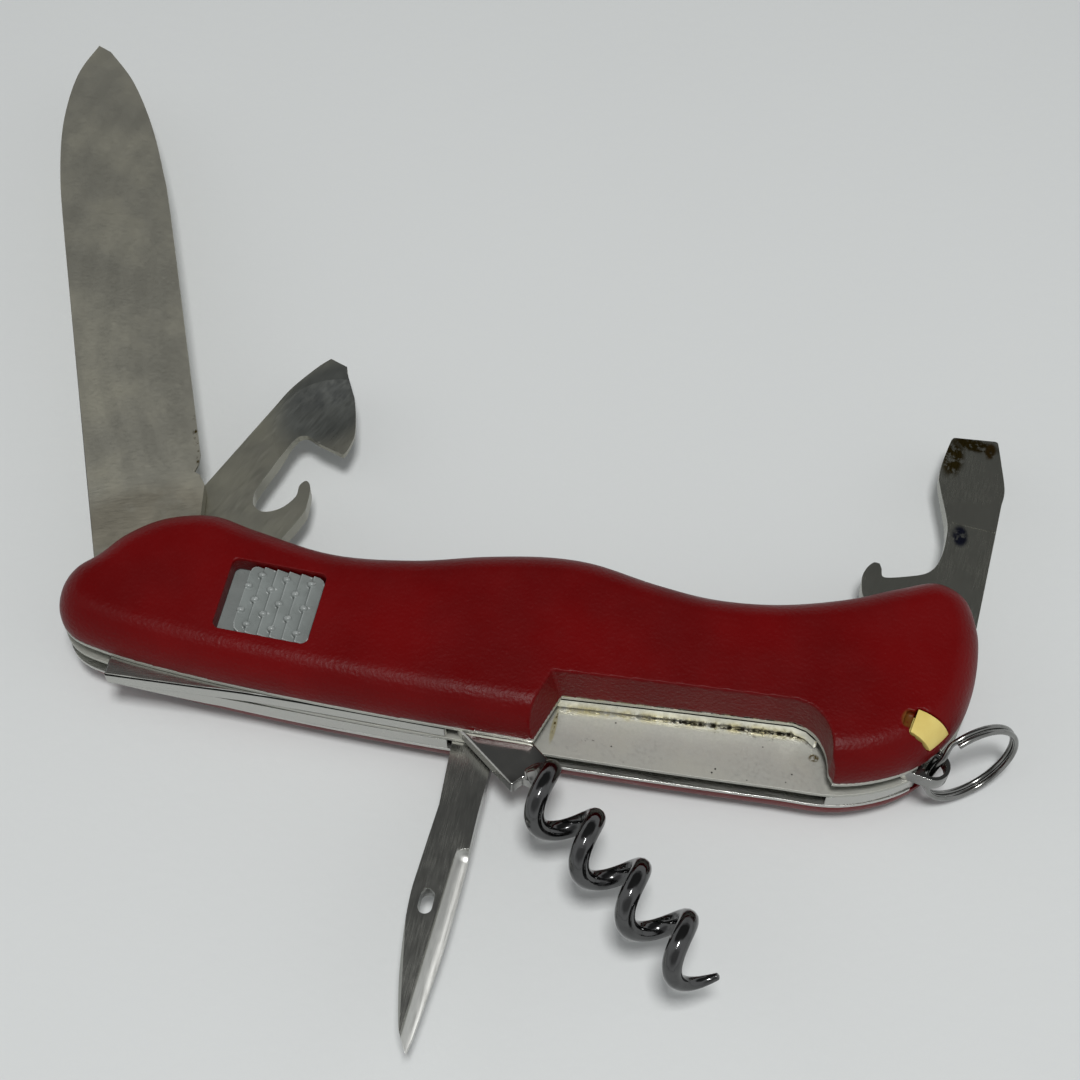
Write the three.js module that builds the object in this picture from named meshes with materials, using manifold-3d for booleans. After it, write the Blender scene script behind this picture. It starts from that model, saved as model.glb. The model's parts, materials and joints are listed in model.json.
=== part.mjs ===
// A two-layer pocket tool: a knife blade, can opener, bottle opener, corkscrew and reamer folding between
// three steel liners and two moulded scales, with a slide lock, toothpick, tweezers and key ring.
// Millimetres. +X runs along the handle to the key ring, +Y to the side that the blade folds into,
// +Z up through the layers. The origin is the middle of the rear scale's flat outer face.
import * as THREE from 'three';
import { mergeVertices } from 'three/addons/utils/BufferGeometryUtils.js';
import Module from 'manifold-3d';

const wasm = await Module();
wasm.setup();

// ---- Driving dimensions ----

const handleLength = 111;
const scaleThickness = 5.4;
const linerThickness = 0.6;
const layerThickness = 2.5; // room for one layer of tools
const toolClearance = 0.1; // on each face of a tool, between its liners
const rimInset = 4; // how far a scale's rounded rim runs in from its outline
const rimHeight = 5.2; // how far down the rim is rounded
const rearSetback = 0.45; // how far the rear scale's back edge stands in, at the blade's end

const bladePivotInset = 9.7; // from the handle's end to the rivet
const bottlePivotInset = 6.1;
const rivetRadius = 1.5;
const rivetClearance = 0.1;
const rivetHeadRadius = 2.1;
const rivetHeadThickness = 0.6;
const bushingRadius = 2.5;
const bushingThickness = 0.9;
const flushHeadRadius = 1.9; // the rivets near the back carry no bushing
const shackleRivetRadius = 1.1;
const shackleHeadRadius = 1.6;
const pocketClearance = 0.3; // round and over a rivet head, in the scale

const springEndLift = 2.6; // of the blade spring's end, out of the back edge
const openerSpringLift = 0.4; // share of that, for the opener spring

const bladeWidth = 14.75;
const bladeLength = 95; // pivot to tip
const bladeSpine = 6.1; // spine, left of the line through the pivot
const bladeEdgeThickness = 0.4;
const ricasso = 17.3; // where the grind starts

const wireRadius = 1.2;
const helixRadius = 2.75; // to the centre of the wire
const helixPitch = 7.92;
const helixTurns = 4.045;
const helixOffset = -1.12; // of the worm's axis from the line through the pivot
const wormLift = 0.25; // between the folded worm and the centre liner

const recessDraft = 0.65; // the recess opens out this much towards the scale's face
const recessEndDraft = 1.4;

const lockTravel = 1.9;
const lockWindow = { length: 11.8, width: 9.6, corner: 0.8 };
const lockHead = { length: 9.2, width: 9.2, height: 2.5, corner: 0.9, ribs: 6, groove: 0.5, gap: 0.2 };
const lockFlange = { length: 17.3, width: 11.7, thickness: 1.2 };
const lockPocket = { shift: -2.2, spareLength: 4.5, spareWidth: 0.8, corner: 1 }; // round the flange
const lockStopGap = 0.6; // between the flange and its pocket's end, with the lock at rest
const lockPlateThickness = 1;
const lockPlateLift = 0.5; // over the liner
const lockClearance = 0.1;
const returnSpringWire = 0.3;
const returnSpringRadius = 0.8;
const returnSpringTurns = 3.5;

const pickAngle = -11; // the toothpick leaves the handle this far from +X, degrees
const pickHead = { width: 2.9, depth: 3.3, notch: 1.1 };
const pickBlade = { length: 46, width: 2.2, thickness: 1.3, lift: 0.3 };
const slotClearance = 0.2;
const clearOfHandle = 20; // how far a cutter runs past the part it cuts

const tweezerHead = { width: 3.4, thickness: 3, lift: 1.4 };
const tweezerLeaf = { length: 40, width: 3, tip: 1.6, thickness: 0.45 };

const ringRadius = 6.05; // to the centre of the wire
const ringWire = 0.36;
const ringPitch = 0.75;
const ringTurns = 1.92;
const ringJog = 0.06; // share of a turn in which one coil crosses to the other
const ringJogAngle = -28; // of that crossing, round the ring from the eye, degrees
const ringSeat = -0.15; // off the eye's middle, along the ring's axis
const eyeHole = 1.5;
const eyeRim = 0.45;
const ringRelief = 0.6; // round the eye, in the liners

// ---- Levels, from the rear face up ----

const rearLinerZ = scaleThickness;
const rearLayerZ = rearLinerZ + linerThickness;
const centreLinerZ = rearLayerZ + layerThickness;
const frontLayerZ = centreLinerZ + linerThickness;
const frontLinerZ = frontLayerZ + layerThickness;
const frontScaleZ = frontLinerZ + linerThickness;
const handleThickness = frontScaleZ + scaleThickness;
const toolThickness = layerThickness - 2 * toolClearance;
const pinHole = rivetRadius + rivetClearance;

// ---- Places in the plan ----

const bladePivot = [-handleLength / 2 + bladePivotInset, -1.8];
const bottlePivot = [handleLength / 2 - bottlePivotInset, 9.8];
const backPivot = [-2.1, -9.6];
const springPivot = [-12.5, -9.4];
const shacklePivot = [handleLength / 2 - 8.1, -2.6];
const ringEye = [handleLength / 2 - 3.5, -4.75];
const lockMiddle = [bladePivot[0] + 16.7, -2.65];
const pickMouth = [handleLength / 2 - 7, -2.43];
const tweezerMouth = [handleLength / 2 - 5.4, 4.2];

// How each tool stands, from +X about its pivot, degrees.
const bladeAngle = 113;
const canAngle = 68.4;
const bottleAngle = 85.3;
const corkscrewAngle = -38.2;
const reamerAngle = -90;

// ---- Helpers ----

const rad = THREE.MathUtils.degToRad;

function solid(geometry) {
  const bare = geometry.index ? geometry.toNonIndexed() : geometry.clone();
  bare.deleteAttribute('normal');
  bare.deleteAttribute('uv');
  const merged = mergeVertices(bare, 1e-4);
  return new wasm.Manifold(
    new wasm.Mesh({
      numProp: 3,
      vertProperties: merged.attributes.position.array,
      triVerts: Uint32Array.from(merged.index.array),
    }),
  );
}

function geometryOf(body) {
  const { vertProperties, triVerts } = body.getMesh();
  const geometry = new THREE.BufferGeometry();
  geometry.setAttribute('position', new THREE.BufferAttribute(vertProperties, 3));
  geometry.setIndex(new THREE.BufferAttribute(triVerts, 1));
  geometry.computeVertexNormals();
  return geometry;
}

function addPart(parent, name, body, finish) {
  const mesh = new THREE.Mesh(geometryOf(body), new THREE.MeshStandardMaterial(finish));
  mesh.name = name;
  parent.add(mesh);
}

// A group whose +X points along a tool, with its origin on the tool's pivot.
function hingeGroup([x, y], angle, z = 0) {
  const turned = new THREE.Group();
  turned.position.set(x, y, z);
  turned.rotation.z = rad(angle);
  return turned;
}

// A closed shape from runs of points. A run of three or more is a smooth curve, a shorter one is straight.
function shapeOf(...runs) {
  const shape = new THREE.Shape();
  runs.forEach((run, i) => {
    if (i === 0) shape.moveTo(...run[0]);
    else shape.lineTo(...run[0]);
    const rest = run.slice(1).map(([x, y]) => new THREE.Vector2(x, y));
    if (rest.length > 1) shape.splineThru(rest);
    else rest.forEach((p) => shape.lineTo(p.x, p.y));
  });
  return shape;
}

function arc([x, y], radius, from, to, steps) {
  return Array.from({ length: steps + 1 }, (_, i) => {
    const a = rad(from + ((to - from) * i) / steps);
    return [x + radius * Math.cos(a), y + radius * Math.sin(a)];
  });
}

function circle([x, y], radius, sides = 24) {
  const points = arc([x, y], radius, 0, 360, sides).slice(0, -1);
  return new THREE.Path(points.map((p) => new THREE.Vector2(...p)));
}

function rounded([x, y], length, width, corner) {
  const [a, b] = [length / 2 - corner, width / 2 - corner];
  const corners = [[a, b, 0], [-a, b, 90], [-a, -b, 180], [a, -b, 270]];
  const points = corners.flatMap(([cx, cy, from]) => arc([x + cx, y + cy], corner, from, from + 90, 4));
  return new THREE.Shape(points.map((p) => new THREE.Vector2(...p)));
}

function plate(shape, z, thickness, holes = [], curveSegments = 3) {
  shape.holes = holes;
  const options = { depth: thickness, bevelEnabled: false, curveSegments };
  const geometry = new THREE.ExtrudeGeometry(shape, options);
  return solid(geometry.translate(0, 0, z));
}

function block(length, width, height, [x, y, z], turn = [0, 0, 0]) {
  const geometry = new THREE.BoxGeometry(length, width, height);
  geometry.rotateX(rad(turn[0]));
  geometry.rotateY(rad(turn[1]));
  geometry.rotateZ(rad(turn[2]));
  return solid(geometry.translate(x, y, z));
}

// A box from one corner to the other.
function boxBetween([x0, y0, z0], [x1, y1, z1]) {
  return block(x1 - x0, y1 - y0, z1 - z0, [(x0 + x1) / 2, (y0 + y1) / 2, (z0 + z1) / 2]);
}

function cylinder([x, y], radius, z0, z1, sides = 24) {
  const geometry = new THREE.CylinderGeometry(radius, radius, z1 - z0, sides);
  return solid(geometry.rotateX(Math.PI / 2).translate(x, y, (z0 + z1) / 2));
}

// A solid of revolution about Z from [radius, z] points, counter-clockwise from the axis.
function turned(profile, [x, y], sides = 24) {
  const points = profile.map(([r, z]) => new THREE.Vector2(r, z));
  return solid(new THREE.LatheGeometry(points, sides).rotateX(Math.PI / 2).translate(x, y, 0));
}

// A shallow round hollow that sinks into a face at a height; a negative depth sinks downwards.
function dish(middle, radius, z, depth) {
  const curve = (radius ** 2 + depth ** 2) / (2 * Math.abs(depth));
  const side = Math.sign(depth);
  const bowl = [0, 0.25, 0.5, 0.75, 1].map((share) => {
    const r = radius * share;
    return [r, z + depth - side * (curve - Math.sqrt(curve ** 2 - r ** 2))];
  });
  const profile = [...bowl, [radius, z - side], [0, z - side]];
  return turned(side < 0 ? profile : profile.reverse(), middle, 40);
}

function tube(path, radius, sides, steps) {
  const section = new THREE.Shape(circle([0, 0], radius, sides).getPoints());
  return new THREE.ExtrudeGeometry(section, { extrudePath: path, steps });
}

class Helix extends THREE.Curve {
  constructor(place) {
    super();
    this.place = place;
  }

  getPoint(t, target = new THREE.Vector3()) {
    return target.set(...this.place(t));
  }
}

// ---- Finishes ----

const steel = { color: 0xb9b8b2, metalness: 1, roughness: 0.32 };
const bladeSteel = { color: 0x8d8a80, metalness: 1, roughness: 0.38 };
const toolSteel = { color: 0x77756d, metalness: 1, roughness: 0.34 };
const darkChrome = { color: 0x4a4a4e, metalness: 1, roughness: 0.16 };
const nickel = { color: 0xc8c8c6, metalness: 1, roughness: 0.18 };
const brass = { color: 0xb08d4a, metalness: 1, roughness: 0.4 };
const redNylon = { color: 0x6d0e12, metalness: 0, roughness: 0.52 };
const greyPlastic = { color: 0x8c9492, metalness: 0, roughness: 0.55 };
const ivoryPlastic = { color: 0xe1d283, metalness: 0, roughness: 0.45 };

// ---- Handle outline ----

// Each point is [share of the handle's length from its middle, distance from the long axis].
const handlePoints = [
  [-0.5, -4.4], [-0.4925, -1.6], [-0.473, 0.9], [-0.452, 4.2], [-0.415, 7.5], [-0.36, 9.3],
  [-0.306, 8.35], [-0.216, 7], [-0.126, 8.25], [-0.05, 10.6], [0.02, 12.15], [0.07, 12.35],
  [0.144, 11.05], [0.207, 10.5], [0.275, 11.35], [0.35, 13.9], [0.4, 16.5], [0.445, 18.35],
  [0.479, 16.8], [0.496, 12.8], [0.5, 9.6], [0.498, 4.5], [0.4875, 0], [0.466, -4],
  [0.437, -6.9], [0.38, -9.65], [0.3, -10.35], [0.12, -11.45], [-0.072, -12.15], [-0.216, -12.25],
  [-0.342, -11.85], [-0.432, -10.95], [-0.475, -9.75], [-0.4945, -7.5],
];
const handleCurve = new THREE.CatmullRomCurve3(
  handlePoints.map(([share, y]) => new THREE.Vector3(share * handleLength, y, 0)), true);
const handleSteps = 72;

// The handle's outline, with its back edge set in by up to a distance towards the blade's end.
function handleOutline(setback = 0) {
  const points = handleCurve.getPoints(handleSteps).slice(0, -1);
  const setIn = (p) => (p.y < -4 ? setback * THREE.MathUtils.clamp(0.5 - p.x / handleLength, 0, 1) : 0);
  return new THREE.Shape(points.map((p) => new THREE.Vector2(p.x, p.y + setIn(p))).reverse());
}

// The height of the handle's back edge at a place along it.
function backEdge(x) {
  const back = handleCurve.getPoints(300).filter((p) => p.y < -4);
  const nearest = back.reduce((a, b) => (Math.abs(b.x - x) < Math.abs(a.x - x) ? b : a));
  return nearest.y;
}

// Points along the back edge, pushed out of the handle by the lift at each place.
function alongBack(places, lift = () => 0) {
  return places.map((x) => [x, backEdge(x) - lift(x)]);
}

// ---- Recess for the worm, in the front scale and its liner ----

const recess = { start: 7.3, end: 39.9, startEdge: -5.35, endEdge: -3.15 };
const recessTop = [[recess.start, recess.startEdge], [20, -4.3], [35, recess.endEdge]];
const recessCorner = [[36.6, -3.5], [38, -4.5], [39.3, -6.45], [recess.end, -8.9]];

function recessShape() {
  const below = -20;
  const mouth = [recess.start - 2.1, -11.75];
  return shapeOf([[mouth[0] - 3.2, below], mouth], recessTop, recessCorner, [[recess.end + 0.6, -9.7],
    [recess.end + 1, below]]);
}

function recessCutter(z0, z1) {
  const geometry = new THREE.ExtrudeGeometry(recessShape(), { depth: z1 - z0, bevelEnabled: false,
    curveSegments: 3 });
  const position = geometry.attributes.position;
  const run = recess.end - recess.start;
  for (let i = 0; i < position.count; i++) {
    if (position.getZ(i) < 1e-6) continue;
    const share = THREE.MathUtils.clamp((position.getX(i) - recess.start) / run, 0, 1);
    position.setX(i, position.getX(i) - recessEndDraft * (1 - share));
    position.setY(i, position.getY(i) + recessDraft);
  }
  return solid(geometry.translate(0, 0, z0));
}

// ---- Rivets ----

const rivets = {
  blade_end: { at: bladePivot, radius: rivetRadius, head: rivetHeadRadius, bushing: true },
  opener_end: { at: bottlePivot, radius: rivetRadius, head: rivetHeadRadius, bushing: true },
  middle: { at: springPivot, radius: rivetRadius, head: flushHeadRadius, bushing: false },
  back_tool: { at: backPivot, radius: rivetRadius, head: flushHeadRadius, bushing: false },
  shackle: { at: shacklePivot, radius: shackleRivetRadius, head: shackleHeadRadius, bushing: false },
};
const rivetList = Object.values(rivets);
const rivetHoles = () => rivetList.map(({ at, radius }) => circle(at, radius + rivetClearance, 16));

// How far a rivet's head stands out of the liner.
const headReach = ({ bushing }) => rivetHeadThickness + (bushing ? bushingThickness : 0);

function rivetBody(rivet) {
  const lift = rivet.bushing ? bushingThickness : 0;
  const [under, over] = [rearLinerZ - lift, frontScaleZ + lift];
  const [bottom, top] = [under - rivetHeadThickness, over + rivetHeadThickness];
  return turned([[0, bottom], [rivet.head, bottom], [rivet.head, under], [rivet.radius, under],
    [rivet.radius, over], [rivet.head, over], [rivet.head, top], [0, top]], rivet.at);
}

function rivetPockets(front) {
  return rivetList.map((rivet) => {
    const radius = (rivet.bushing ? bushingRadius : rivet.head) + pocketClearance;
    const depth = headReach(rivet) + pocketClearance;
    return front
      ? cylinder(rivet.at, radius, frontScaleZ - 1, frontScaleZ + depth)
      : cylinder(rivet.at, radius, rearLinerZ - depth, rearLinerZ + 1);
  });
}

function bushing({ at }, z) {
  const shape = new THREE.Shape(circle(at, bushingRadius).getPoints());
  return plate(shape, z, bushingThickness, [circle(at, rivetRadius + rivetClearance)]);
}

// ---- Scales ----

// A plate of the handle's outline with its outer rim rounded.
function scaleBlank(front) {
  const geometry = new THREE.ExtrudeGeometry(handleOutline(front ? 0 : rearSetback), {
    depth: scaleThickness - rimHeight,
    bevelEnabled: true,
    bevelThickness: rimHeight,
    bevelSize: rimInset,
    bevelOffset: -rimInset,
    bevelSegments: 4,
  });
  const base = front ? frontScaleZ : rimHeight;
  const [low, high] = front ? [frontScaleZ - 10, frontScaleZ] : [scaleThickness, scaleThickness + 10];
  const reach = handleLength;
  const unused = boxBetween([-reach, -reach, low], [reach, reach, high]);
  return solid(geometry.translate(0, 0, base)).subtract(unused);
}

const pickZ = handleThickness - pickHead.depth; // underside of the toothpick's head
const pickBladeZ = pickZ + pickBlade.lift;
const pickTurn = hingeGroup(pickMouth, pickAngle);

// A block in the toothpick's own line: from one distance along it to another, about its middle.
function pickBlock(from, to, width, z0, z1) {
  const geometry = new THREE.BoxGeometry(to - from, width, z1 - z0);
  geometry.translate((from + to) / 2, 0, (z0 + z1) / 2).rotateZ(pickTurn.rotation.z);
  return solid(geometry.translate(...pickTurn.position.toArray()));
}

const tweezerZ = tweezerHead.lift; // underside of the tweezers' head
const tweezerEnd = tweezerMouth[0] - tweezerLeaf.length;

function frontScale() {
  const lockZ = lockFlangeZ + lockFlange.thickness + lockClearance;
  const pocketWidth = lockFlange.width + lockPocket.spareWidth;
  const pocket = rounded(pocketMiddle, pocketLength, pocketWidth, lockPocket.corner);
  const window = rounded(lockMiddle, lockWindow.length, lockWindow.width, lockWindow.corner);
  const [headWidth, bladeWide] = [pickHead.width, pickBlade.width].map((w) => w + 2 * slotClearance);
  const cuts = [
    recessCutter(frontScaleZ - 0.01, handleThickness + 0.5),
    plate(pocket, frontScaleZ - 1, lockZ - frontScaleZ + 1),
    plate(window, lockZ - 0.5, clearOfHandle),
    pickBlock(-slotClearance, clearOfHandle, headWidth, pickZ - slotClearance, handleThickness + 1),
    pickBlock(-pickBlade.length - 1, 1, bladeWide, pickBladeZ - slotClearance,
      pickBladeZ + pickBlade.thickness + slotClearance),
    pickBlock(-pickHead.notch, 0, pickHead.width - 2 * slotClearance, handleThickness - pickHead.notch,
      handleThickness + 1),
    ...rivetPockets(true),
  ];
  return cuts.reduce((body, cut) => body.subtract(cut), scaleBlank(true));
}

function rearScale() {
  const [x, y] = tweezerMouth;
  const half = tweezerHead.width / 2 + slotClearance;
  const bladeHalf = tweezerLeaf.width / 2 + slotClearance;
  const z0 = tweezerZ - slotClearance;
  const z1 = tweezerZ + tweezerHead.thickness + slotClearance;
  const cuts = [
    boxBetween([x - slotClearance, y - half, z0], [x + clearOfHandle, y + half, z1]),
    boxBetween([tweezerEnd - 1, y - bladeHalf, z0], [x, y + bladeHalf, z1]),
    ...rivetPockets(false),
  ];
  return cuts.reduce((body, cut) => body.subtract(cut), scaleBlank(false));
}

// ---- Liners and springs ----

function liner(z) {
  const relief = cylinder(ringEye, eyeHole + ringRelief, z - 1, z + 2);
  return plate(handleOutline(), z, linerThickness, rivetHoles()).subtract(relief);
}

// The half-open blade and can opener hold the springs' left ends out of the handle.
const springEnd = bladePivot[0] - 1.8;
const liftStart = springPivot[0] - 5.5;
const springBend = (x) => THREE.MathUtils.clamp((liftStart - x) / (liftStart - springEnd), 0, 1);
const springLift = (x) => springEndLift * springBend(x) ** 2;
const springBack = [0, 0.15, 0.31, 0.47, 0.63, 0.83, 1].map((share) =>
  THREE.MathUtils.lerp(springEnd, springPivot[0] + 2.5, share));

function bladeSpring() {
  const [px, py] = backPivot;
  const under = [springEnd, -9.7];
  const shape = shapeOf(
    alongBack([...springBack, px - 3.3], springLift),
    [[px - 3.4, py + 1.5], [px - 2.2, py + 2.8], [px, py + 3.15], [recess.start - 3, recess.startEdge - 0.3]],
    recessTop,
    recessCorner.slice(0, 2),
    [[recess.end - 0.9, -3.4], [recess.end - 2.3, -1.7]],
    [[33, -2], [20, -3.2], [7.4, -4.65], [px, -5.75], [-12, -6.9], [-22, -8.1], [-28, -9.3], under],
  );
  return plate(shape, frontLayerZ + toolClearance, toolThickness, [circle(springPivot, pinHole)]);
}

function openerSpring() {
  const [px, py] = backPivot;
  const [bx, by] = bottlePivot;
  const shape = shapeOf(
    alongBack([...springBack, px - 3.3], (x) => openerSpringLift * springLift(x)),
    [[px - 3.4, py + 1.5], [px - 2.2, py + 2.8], [px, py + 3.3], [10, -4.95], [30, -3.8], [bx - 12.4, -3.7]],
    [[bx - 10.2, -4.2], [bx - 9.6, -5.5]],
    alongBack([bx - 9.1, bx - 5.4, bx - 1.9, bx + 0.9]),
    [[bx + 1.8, -3.6], [bx + 1.6, by - 6.5]],
    [[bx - 0.6, by - 6.3], [bx - 2.8, by - 5.9]],
    [[bx - 3.8, -0.2], [bx - 5.8, -2.4], [bx - 11.4, -2.6], [30, -2.5], [20, -2.6], [4, -3.4], [-4, -4.6],
      [-12, -6.6], [-18, -8.5], [-28, -9.4], [springEnd, -9.7]],
  );
  const holes = [circle(springPivot, pinHole), circle(shacklePivot, shackleRivetRadius + rivetClearance)];
  return plate(shape, rearLayerZ + toolClearance, toolThickness, holes);
}

// ---- Tools, each along +X from its pivot, with its rear face at z = 0 ----

function blade() {
  const edge = bladeSpine - bladeWidth;
  const shape = shapeOf(
    arc([0, 0], bladeSpine, 270, 90, 8),
    [[59, bladeSpine], [70, 5.9], [80.3, 4.75], [89.3, 2.1], [bladeLength, -1.5]],
    [[93.4, -3.1], [87, -5.8], [78.3, -7.6], [69.2, -8.4], [60, edge], [20, edge + 0.1]],
    [[18.6, edge + 0.5], [17.2, -7.3]],
    [[16.3, -8.2], [14.7, edge]],
    [[8, -7.2], [2, -6.2]],
  );
  const body = plate(shape, 0, toolThickness, [circle([0, 0], pinHole)]);
  const fall = (toolThickness - bladeEdgeThickness) / 2 / bladeWidth;
  const tilt = THREE.MathUtils.radToDeg(Math.atan(fall));
  const [length, width, height] = [bladeLength, 60, 6];
  const grinds = [1, -1].map((side) => {
    const geometry = new THREE.BoxGeometry(length, width, height);
    geometry.translate(length / 2, 0, (side * height) / 2).rotateX(rad(side * tilt));
    return solid(geometry.translate(ricasso, bladeSpine, side > 0 ? toolThickness : 0));
  });
  const nick = plate(rounded([68, 3.6], 13, 1.3, 0.6), -1, 1.6);
  return [...grinds, nick].reduce((a, b) => a.subtract(b), body);
}

function canOpener() {
  const shape = shapeOf(
    arc([0, 0], 5.6, 270, 90, 8),
    [[33, 5.65], [36.4, 5.6], [40.9, 4.8], [43.1, 4.1]],
    [[43.2, 1.5], [42.4, 0.9]],
    [[39.8, -2.2], [37.6, -4], [35, -5.7], [32.6, -6.3], [31.7, -6.2]],
    [[31.4, -2.6], [31.5, -0.6], [30.7, 0.3]],
    [[29.3, 0.4], [22, -0.2], [20, -0.6], [18.8, -1.6], [18.8, -3.2], [20.5, -4.7], [22.9, -5.2], [24.5, -4.6],
      [25.6, -4.9], [25.1, -5.9], [22.9, -7.1], [20.9, -7.6], [15, -7.4], [7, -6.2], [2, -5.7]],
  );
  const body = plate(shape, 0, toolThickness, [circle([0, 0], pinHole)], 2);
  const hollowMiddle = [34, -3.5];
  return body
    .subtract(dish(hollowMiddle, 8.4, toolThickness, -0.55))
    .subtract(dish(hollowMiddle, 8.4, 0, 1.2));
}

function bottleOpener() {
  const shape = shapeOf(
    arc([0, 0], 5.6, 90, 268, 8),
    [[26, -5.4], [28.6, -5.4], [32.7, -4.3], [36.1, -3.3]],
    [[35, 2.6], [32.9, 2.9], [29.8, 3.2], [27.7, 3.1]],
    [[25.4, 2.3], [21.2, 0.8], [18.5, 0.5], [16.1, 0.6], [14.3, 1.1], [13, 2.2], [11.9, 4.5], [11.2, 6.4],
      [11.2, 7.2], [12.2, 7.5]],
    [[12.9, 7.9], [12.8, 8.7], [11.6, 9.4], [10, 9.6], [7.6, 8.9], [6, 7], [4.4, 4.95], [2.2, 5.3]],
  );
  const body = plate(shape, 0, toolThickness, [circle([0, 0], pinHole)], 2);
  const [from, to, tipThickness] = [21.5, 35, 0.85]; // of the screwdriver tip, thinned on both faces
  const tilt = THREE.MathUtils.radToDeg(Math.atan((toolThickness - tipThickness) / 2 / (to - from)));
  const thinnings = [1, -1].map((side) => {
    const geometry = new THREE.BoxGeometry(20, 20, 4);
    geometry.translate(10, 0, side * 2).rotateY(rad(side * tilt));
    return solid(geometry.translate(from, 0, side > 0 ? toolThickness : 0));
  });
  const nick = plate(rounded([17, -1.9], 5.6, 1.3, 0.6), -1, 1.5);
  return [...thinnings, nick].reduce((a, b) => a.subtract(b), body);
}

function reamer() {
  const shape = shapeOf(
    arc([0, 0], 2.75, 90, 270, 8),
    [[10.8, -2.25], [18.9, -2.75], [22.4, -2.88], [26.9, -2.57], [31.4, -1.97], [35.4, -1.1], [38.1, -0.32],
      [40.2, 0.87]],
    [[38.5, 1.19], [32.9, 1.74], [26.9, 2.25], [18.9, 2.5], [10.8, 2.5]],
  );
  const eye = new THREE.Path(rounded([22.8, -0.9], 3.1, 1.7, 0.84).getPoints());
  const body = plate(shape, 0, toolThickness, [circle([0, 0], pinHole), eye]);
  const [radius, length, sink, lean] = [1.5, 30, 0.9, -2.7]; // of the flute, which follows the front edge
  const flute = new THREE.CapsuleGeometry(radius, length, 5, 20);
  flute.rotateZ(-Math.PI / 2).translate(length / 2, 0, 0).rotateY(rad(sink)).rotateZ(rad(lean));
  const bevel = new THREE.BoxGeometry(20, 8, 4);
  bevel.translate(7, -2, 2).rotateX(rad(60)).rotateZ(rad(10.8));
  return body
    .subtract(solid(flute.translate(17, 2.4, toolThickness + 0.45)))
    .subtract(solid(bevel.translate(25.8, -2.63, toolThickness)));
}

// The worm is one wire that rises from the flat tang, with its end drawn down to a point.
function corkscrew() {
  const axisZ = wormLift + wireRadius + helixRadius - toolClearance;
  const startTurn = -0.19;
  const startAlong = 10.06;
  const place = (t) => {
    const turn = startTurn + helixTurns * t;
    const a = 2 * Math.PI * turn;
    const along = startAlong + helixPitch * (turn - startTurn);
    return [along, helixOffset + helixRadius * Math.cos(a), axisZ + helixRadius * Math.sin(a)];
  };
  const path = new Helix(place);
  const steps = 72;
  const geometry = tube(path, wireRadius, 9, steps);
  const centres = Array.from({ length: steps + 1 }, (_, i) => path.getPointAt(i / steps));
  const taperSteps = 9;
  const tipShare = 0.36; // of the wire's radius, left at the point
  const position = geometry.attributes.position;
  const vertex = new THREE.Vector3();
  for (let i = 0; i < position.count; i++) {
    vertex.fromBufferAttribute(position, i);
    const distances = centres.map((c) => c.distanceTo(vertex));
    const ring = distances.indexOf(Math.min(...distances));
    const share = Math.max(0, (ring - (steps - taperSteps)) / taperSteps);
    vertex.sub(centres[ring]).multiplyScalar(1 - (1 - tipShare) * share ** 1.6).add(centres[ring]);
    position.setXYZ(i, vertex.x, vertex.y, vertex.z);
  }
  const shape = shapeOf(
    arc([0, 0], 2.8, 90, 270, 8),
    [[9.6, -2.6], [9.7, -0.9]],
    [[10.6, -0.6], [11.4, 0.4], [11.3, 2.5], [9.5, 2.85]],
  );
  return plate(shape, 0, toolThickness, [circle([0, 0], pinHole)]).add(solid(geometry));
}

// ---- Slide lock ----

const lockPlateZ = frontScaleZ + lockPlateLift;
const lockFlangeZ = lockPlateZ + lockPlateThickness;
const pocketMiddle = [lockMiddle[0] + lockPocket.shift, lockMiddle[1]];
const pocketLength = lockFlange.length + lockPocket.spareLength;
const pocketLeft = pocketMiddle[0] - pocketLength / 2;
const flangeMiddle = [pocketMiddle[0] + (lockTravel + lockStopGap) / 2, lockMiddle[1]];
const flangeLeft = flangeMiddle[0] - lockFlange.length / 2;

function lockButton() {
  const flange = plate(rounded(flangeMiddle, lockFlange.length, lockFlange.width, 1), lockFlangeZ,
    lockFlange.thickness);
  const headX = lockMiddle[0] + (lockWindow.length - lockHead.length) / 2 - lockHead.gap;
  const z0 = lockFlangeZ + lockFlange.thickness;
  const sunk = 0.2; // into the flange
  const head = plate(rounded([headX, lockMiddle[1]], lockHead.length, lockHead.width, lockHead.corner),
    z0 - sunk, lockHead.height + sunk);
  const rib = lockHead.length / lockHead.ribs;
  const grooves = Array.from({ length: lockHead.ribs - 1 }, (_, i) => {
    const x = headX - lockHead.length / 2 + rib * (i + 1);
    const top = [x, lockMiddle[1], z0 + lockHead.height];
    return block(lockHead.groove, lockHead.width + 1, lockHead.groove, top, [0, 45, 0]);
  });
  return grooves.reduce((a, b) => a.subtract(b), flange.add(head));
}

function lockPlate() {
  const [length, width, corner] = [lockFlange.length - 4, 6, 0.8];
  return plate(rounded(flangeMiddle, length, width, corner), lockPlateZ, lockPlateThickness);
}

function lockReturnSpring() {
  const play = 0.1; // at each end
  const start = pocketLeft + play + returnSpringWire / 2;
  const length = flangeLeft - play - returnSpringWire / 2 - start;
  const z = lockFlangeZ + lockFlange.thickness - returnSpringRadius - returnSpringWire;
  const place = (t) => {
    const a = 2 * Math.PI * returnSpringTurns * t;
    return [start + length * t, lockMiddle[1] + returnSpringRadius * Math.cos(a),
      z + returnSpringRadius * Math.sin(a)];
  };
  return solid(tube(new Helix(place), returnSpringWire / 2, 5, 28));
}

// ---- Toothpick and tweezers ----

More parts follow.
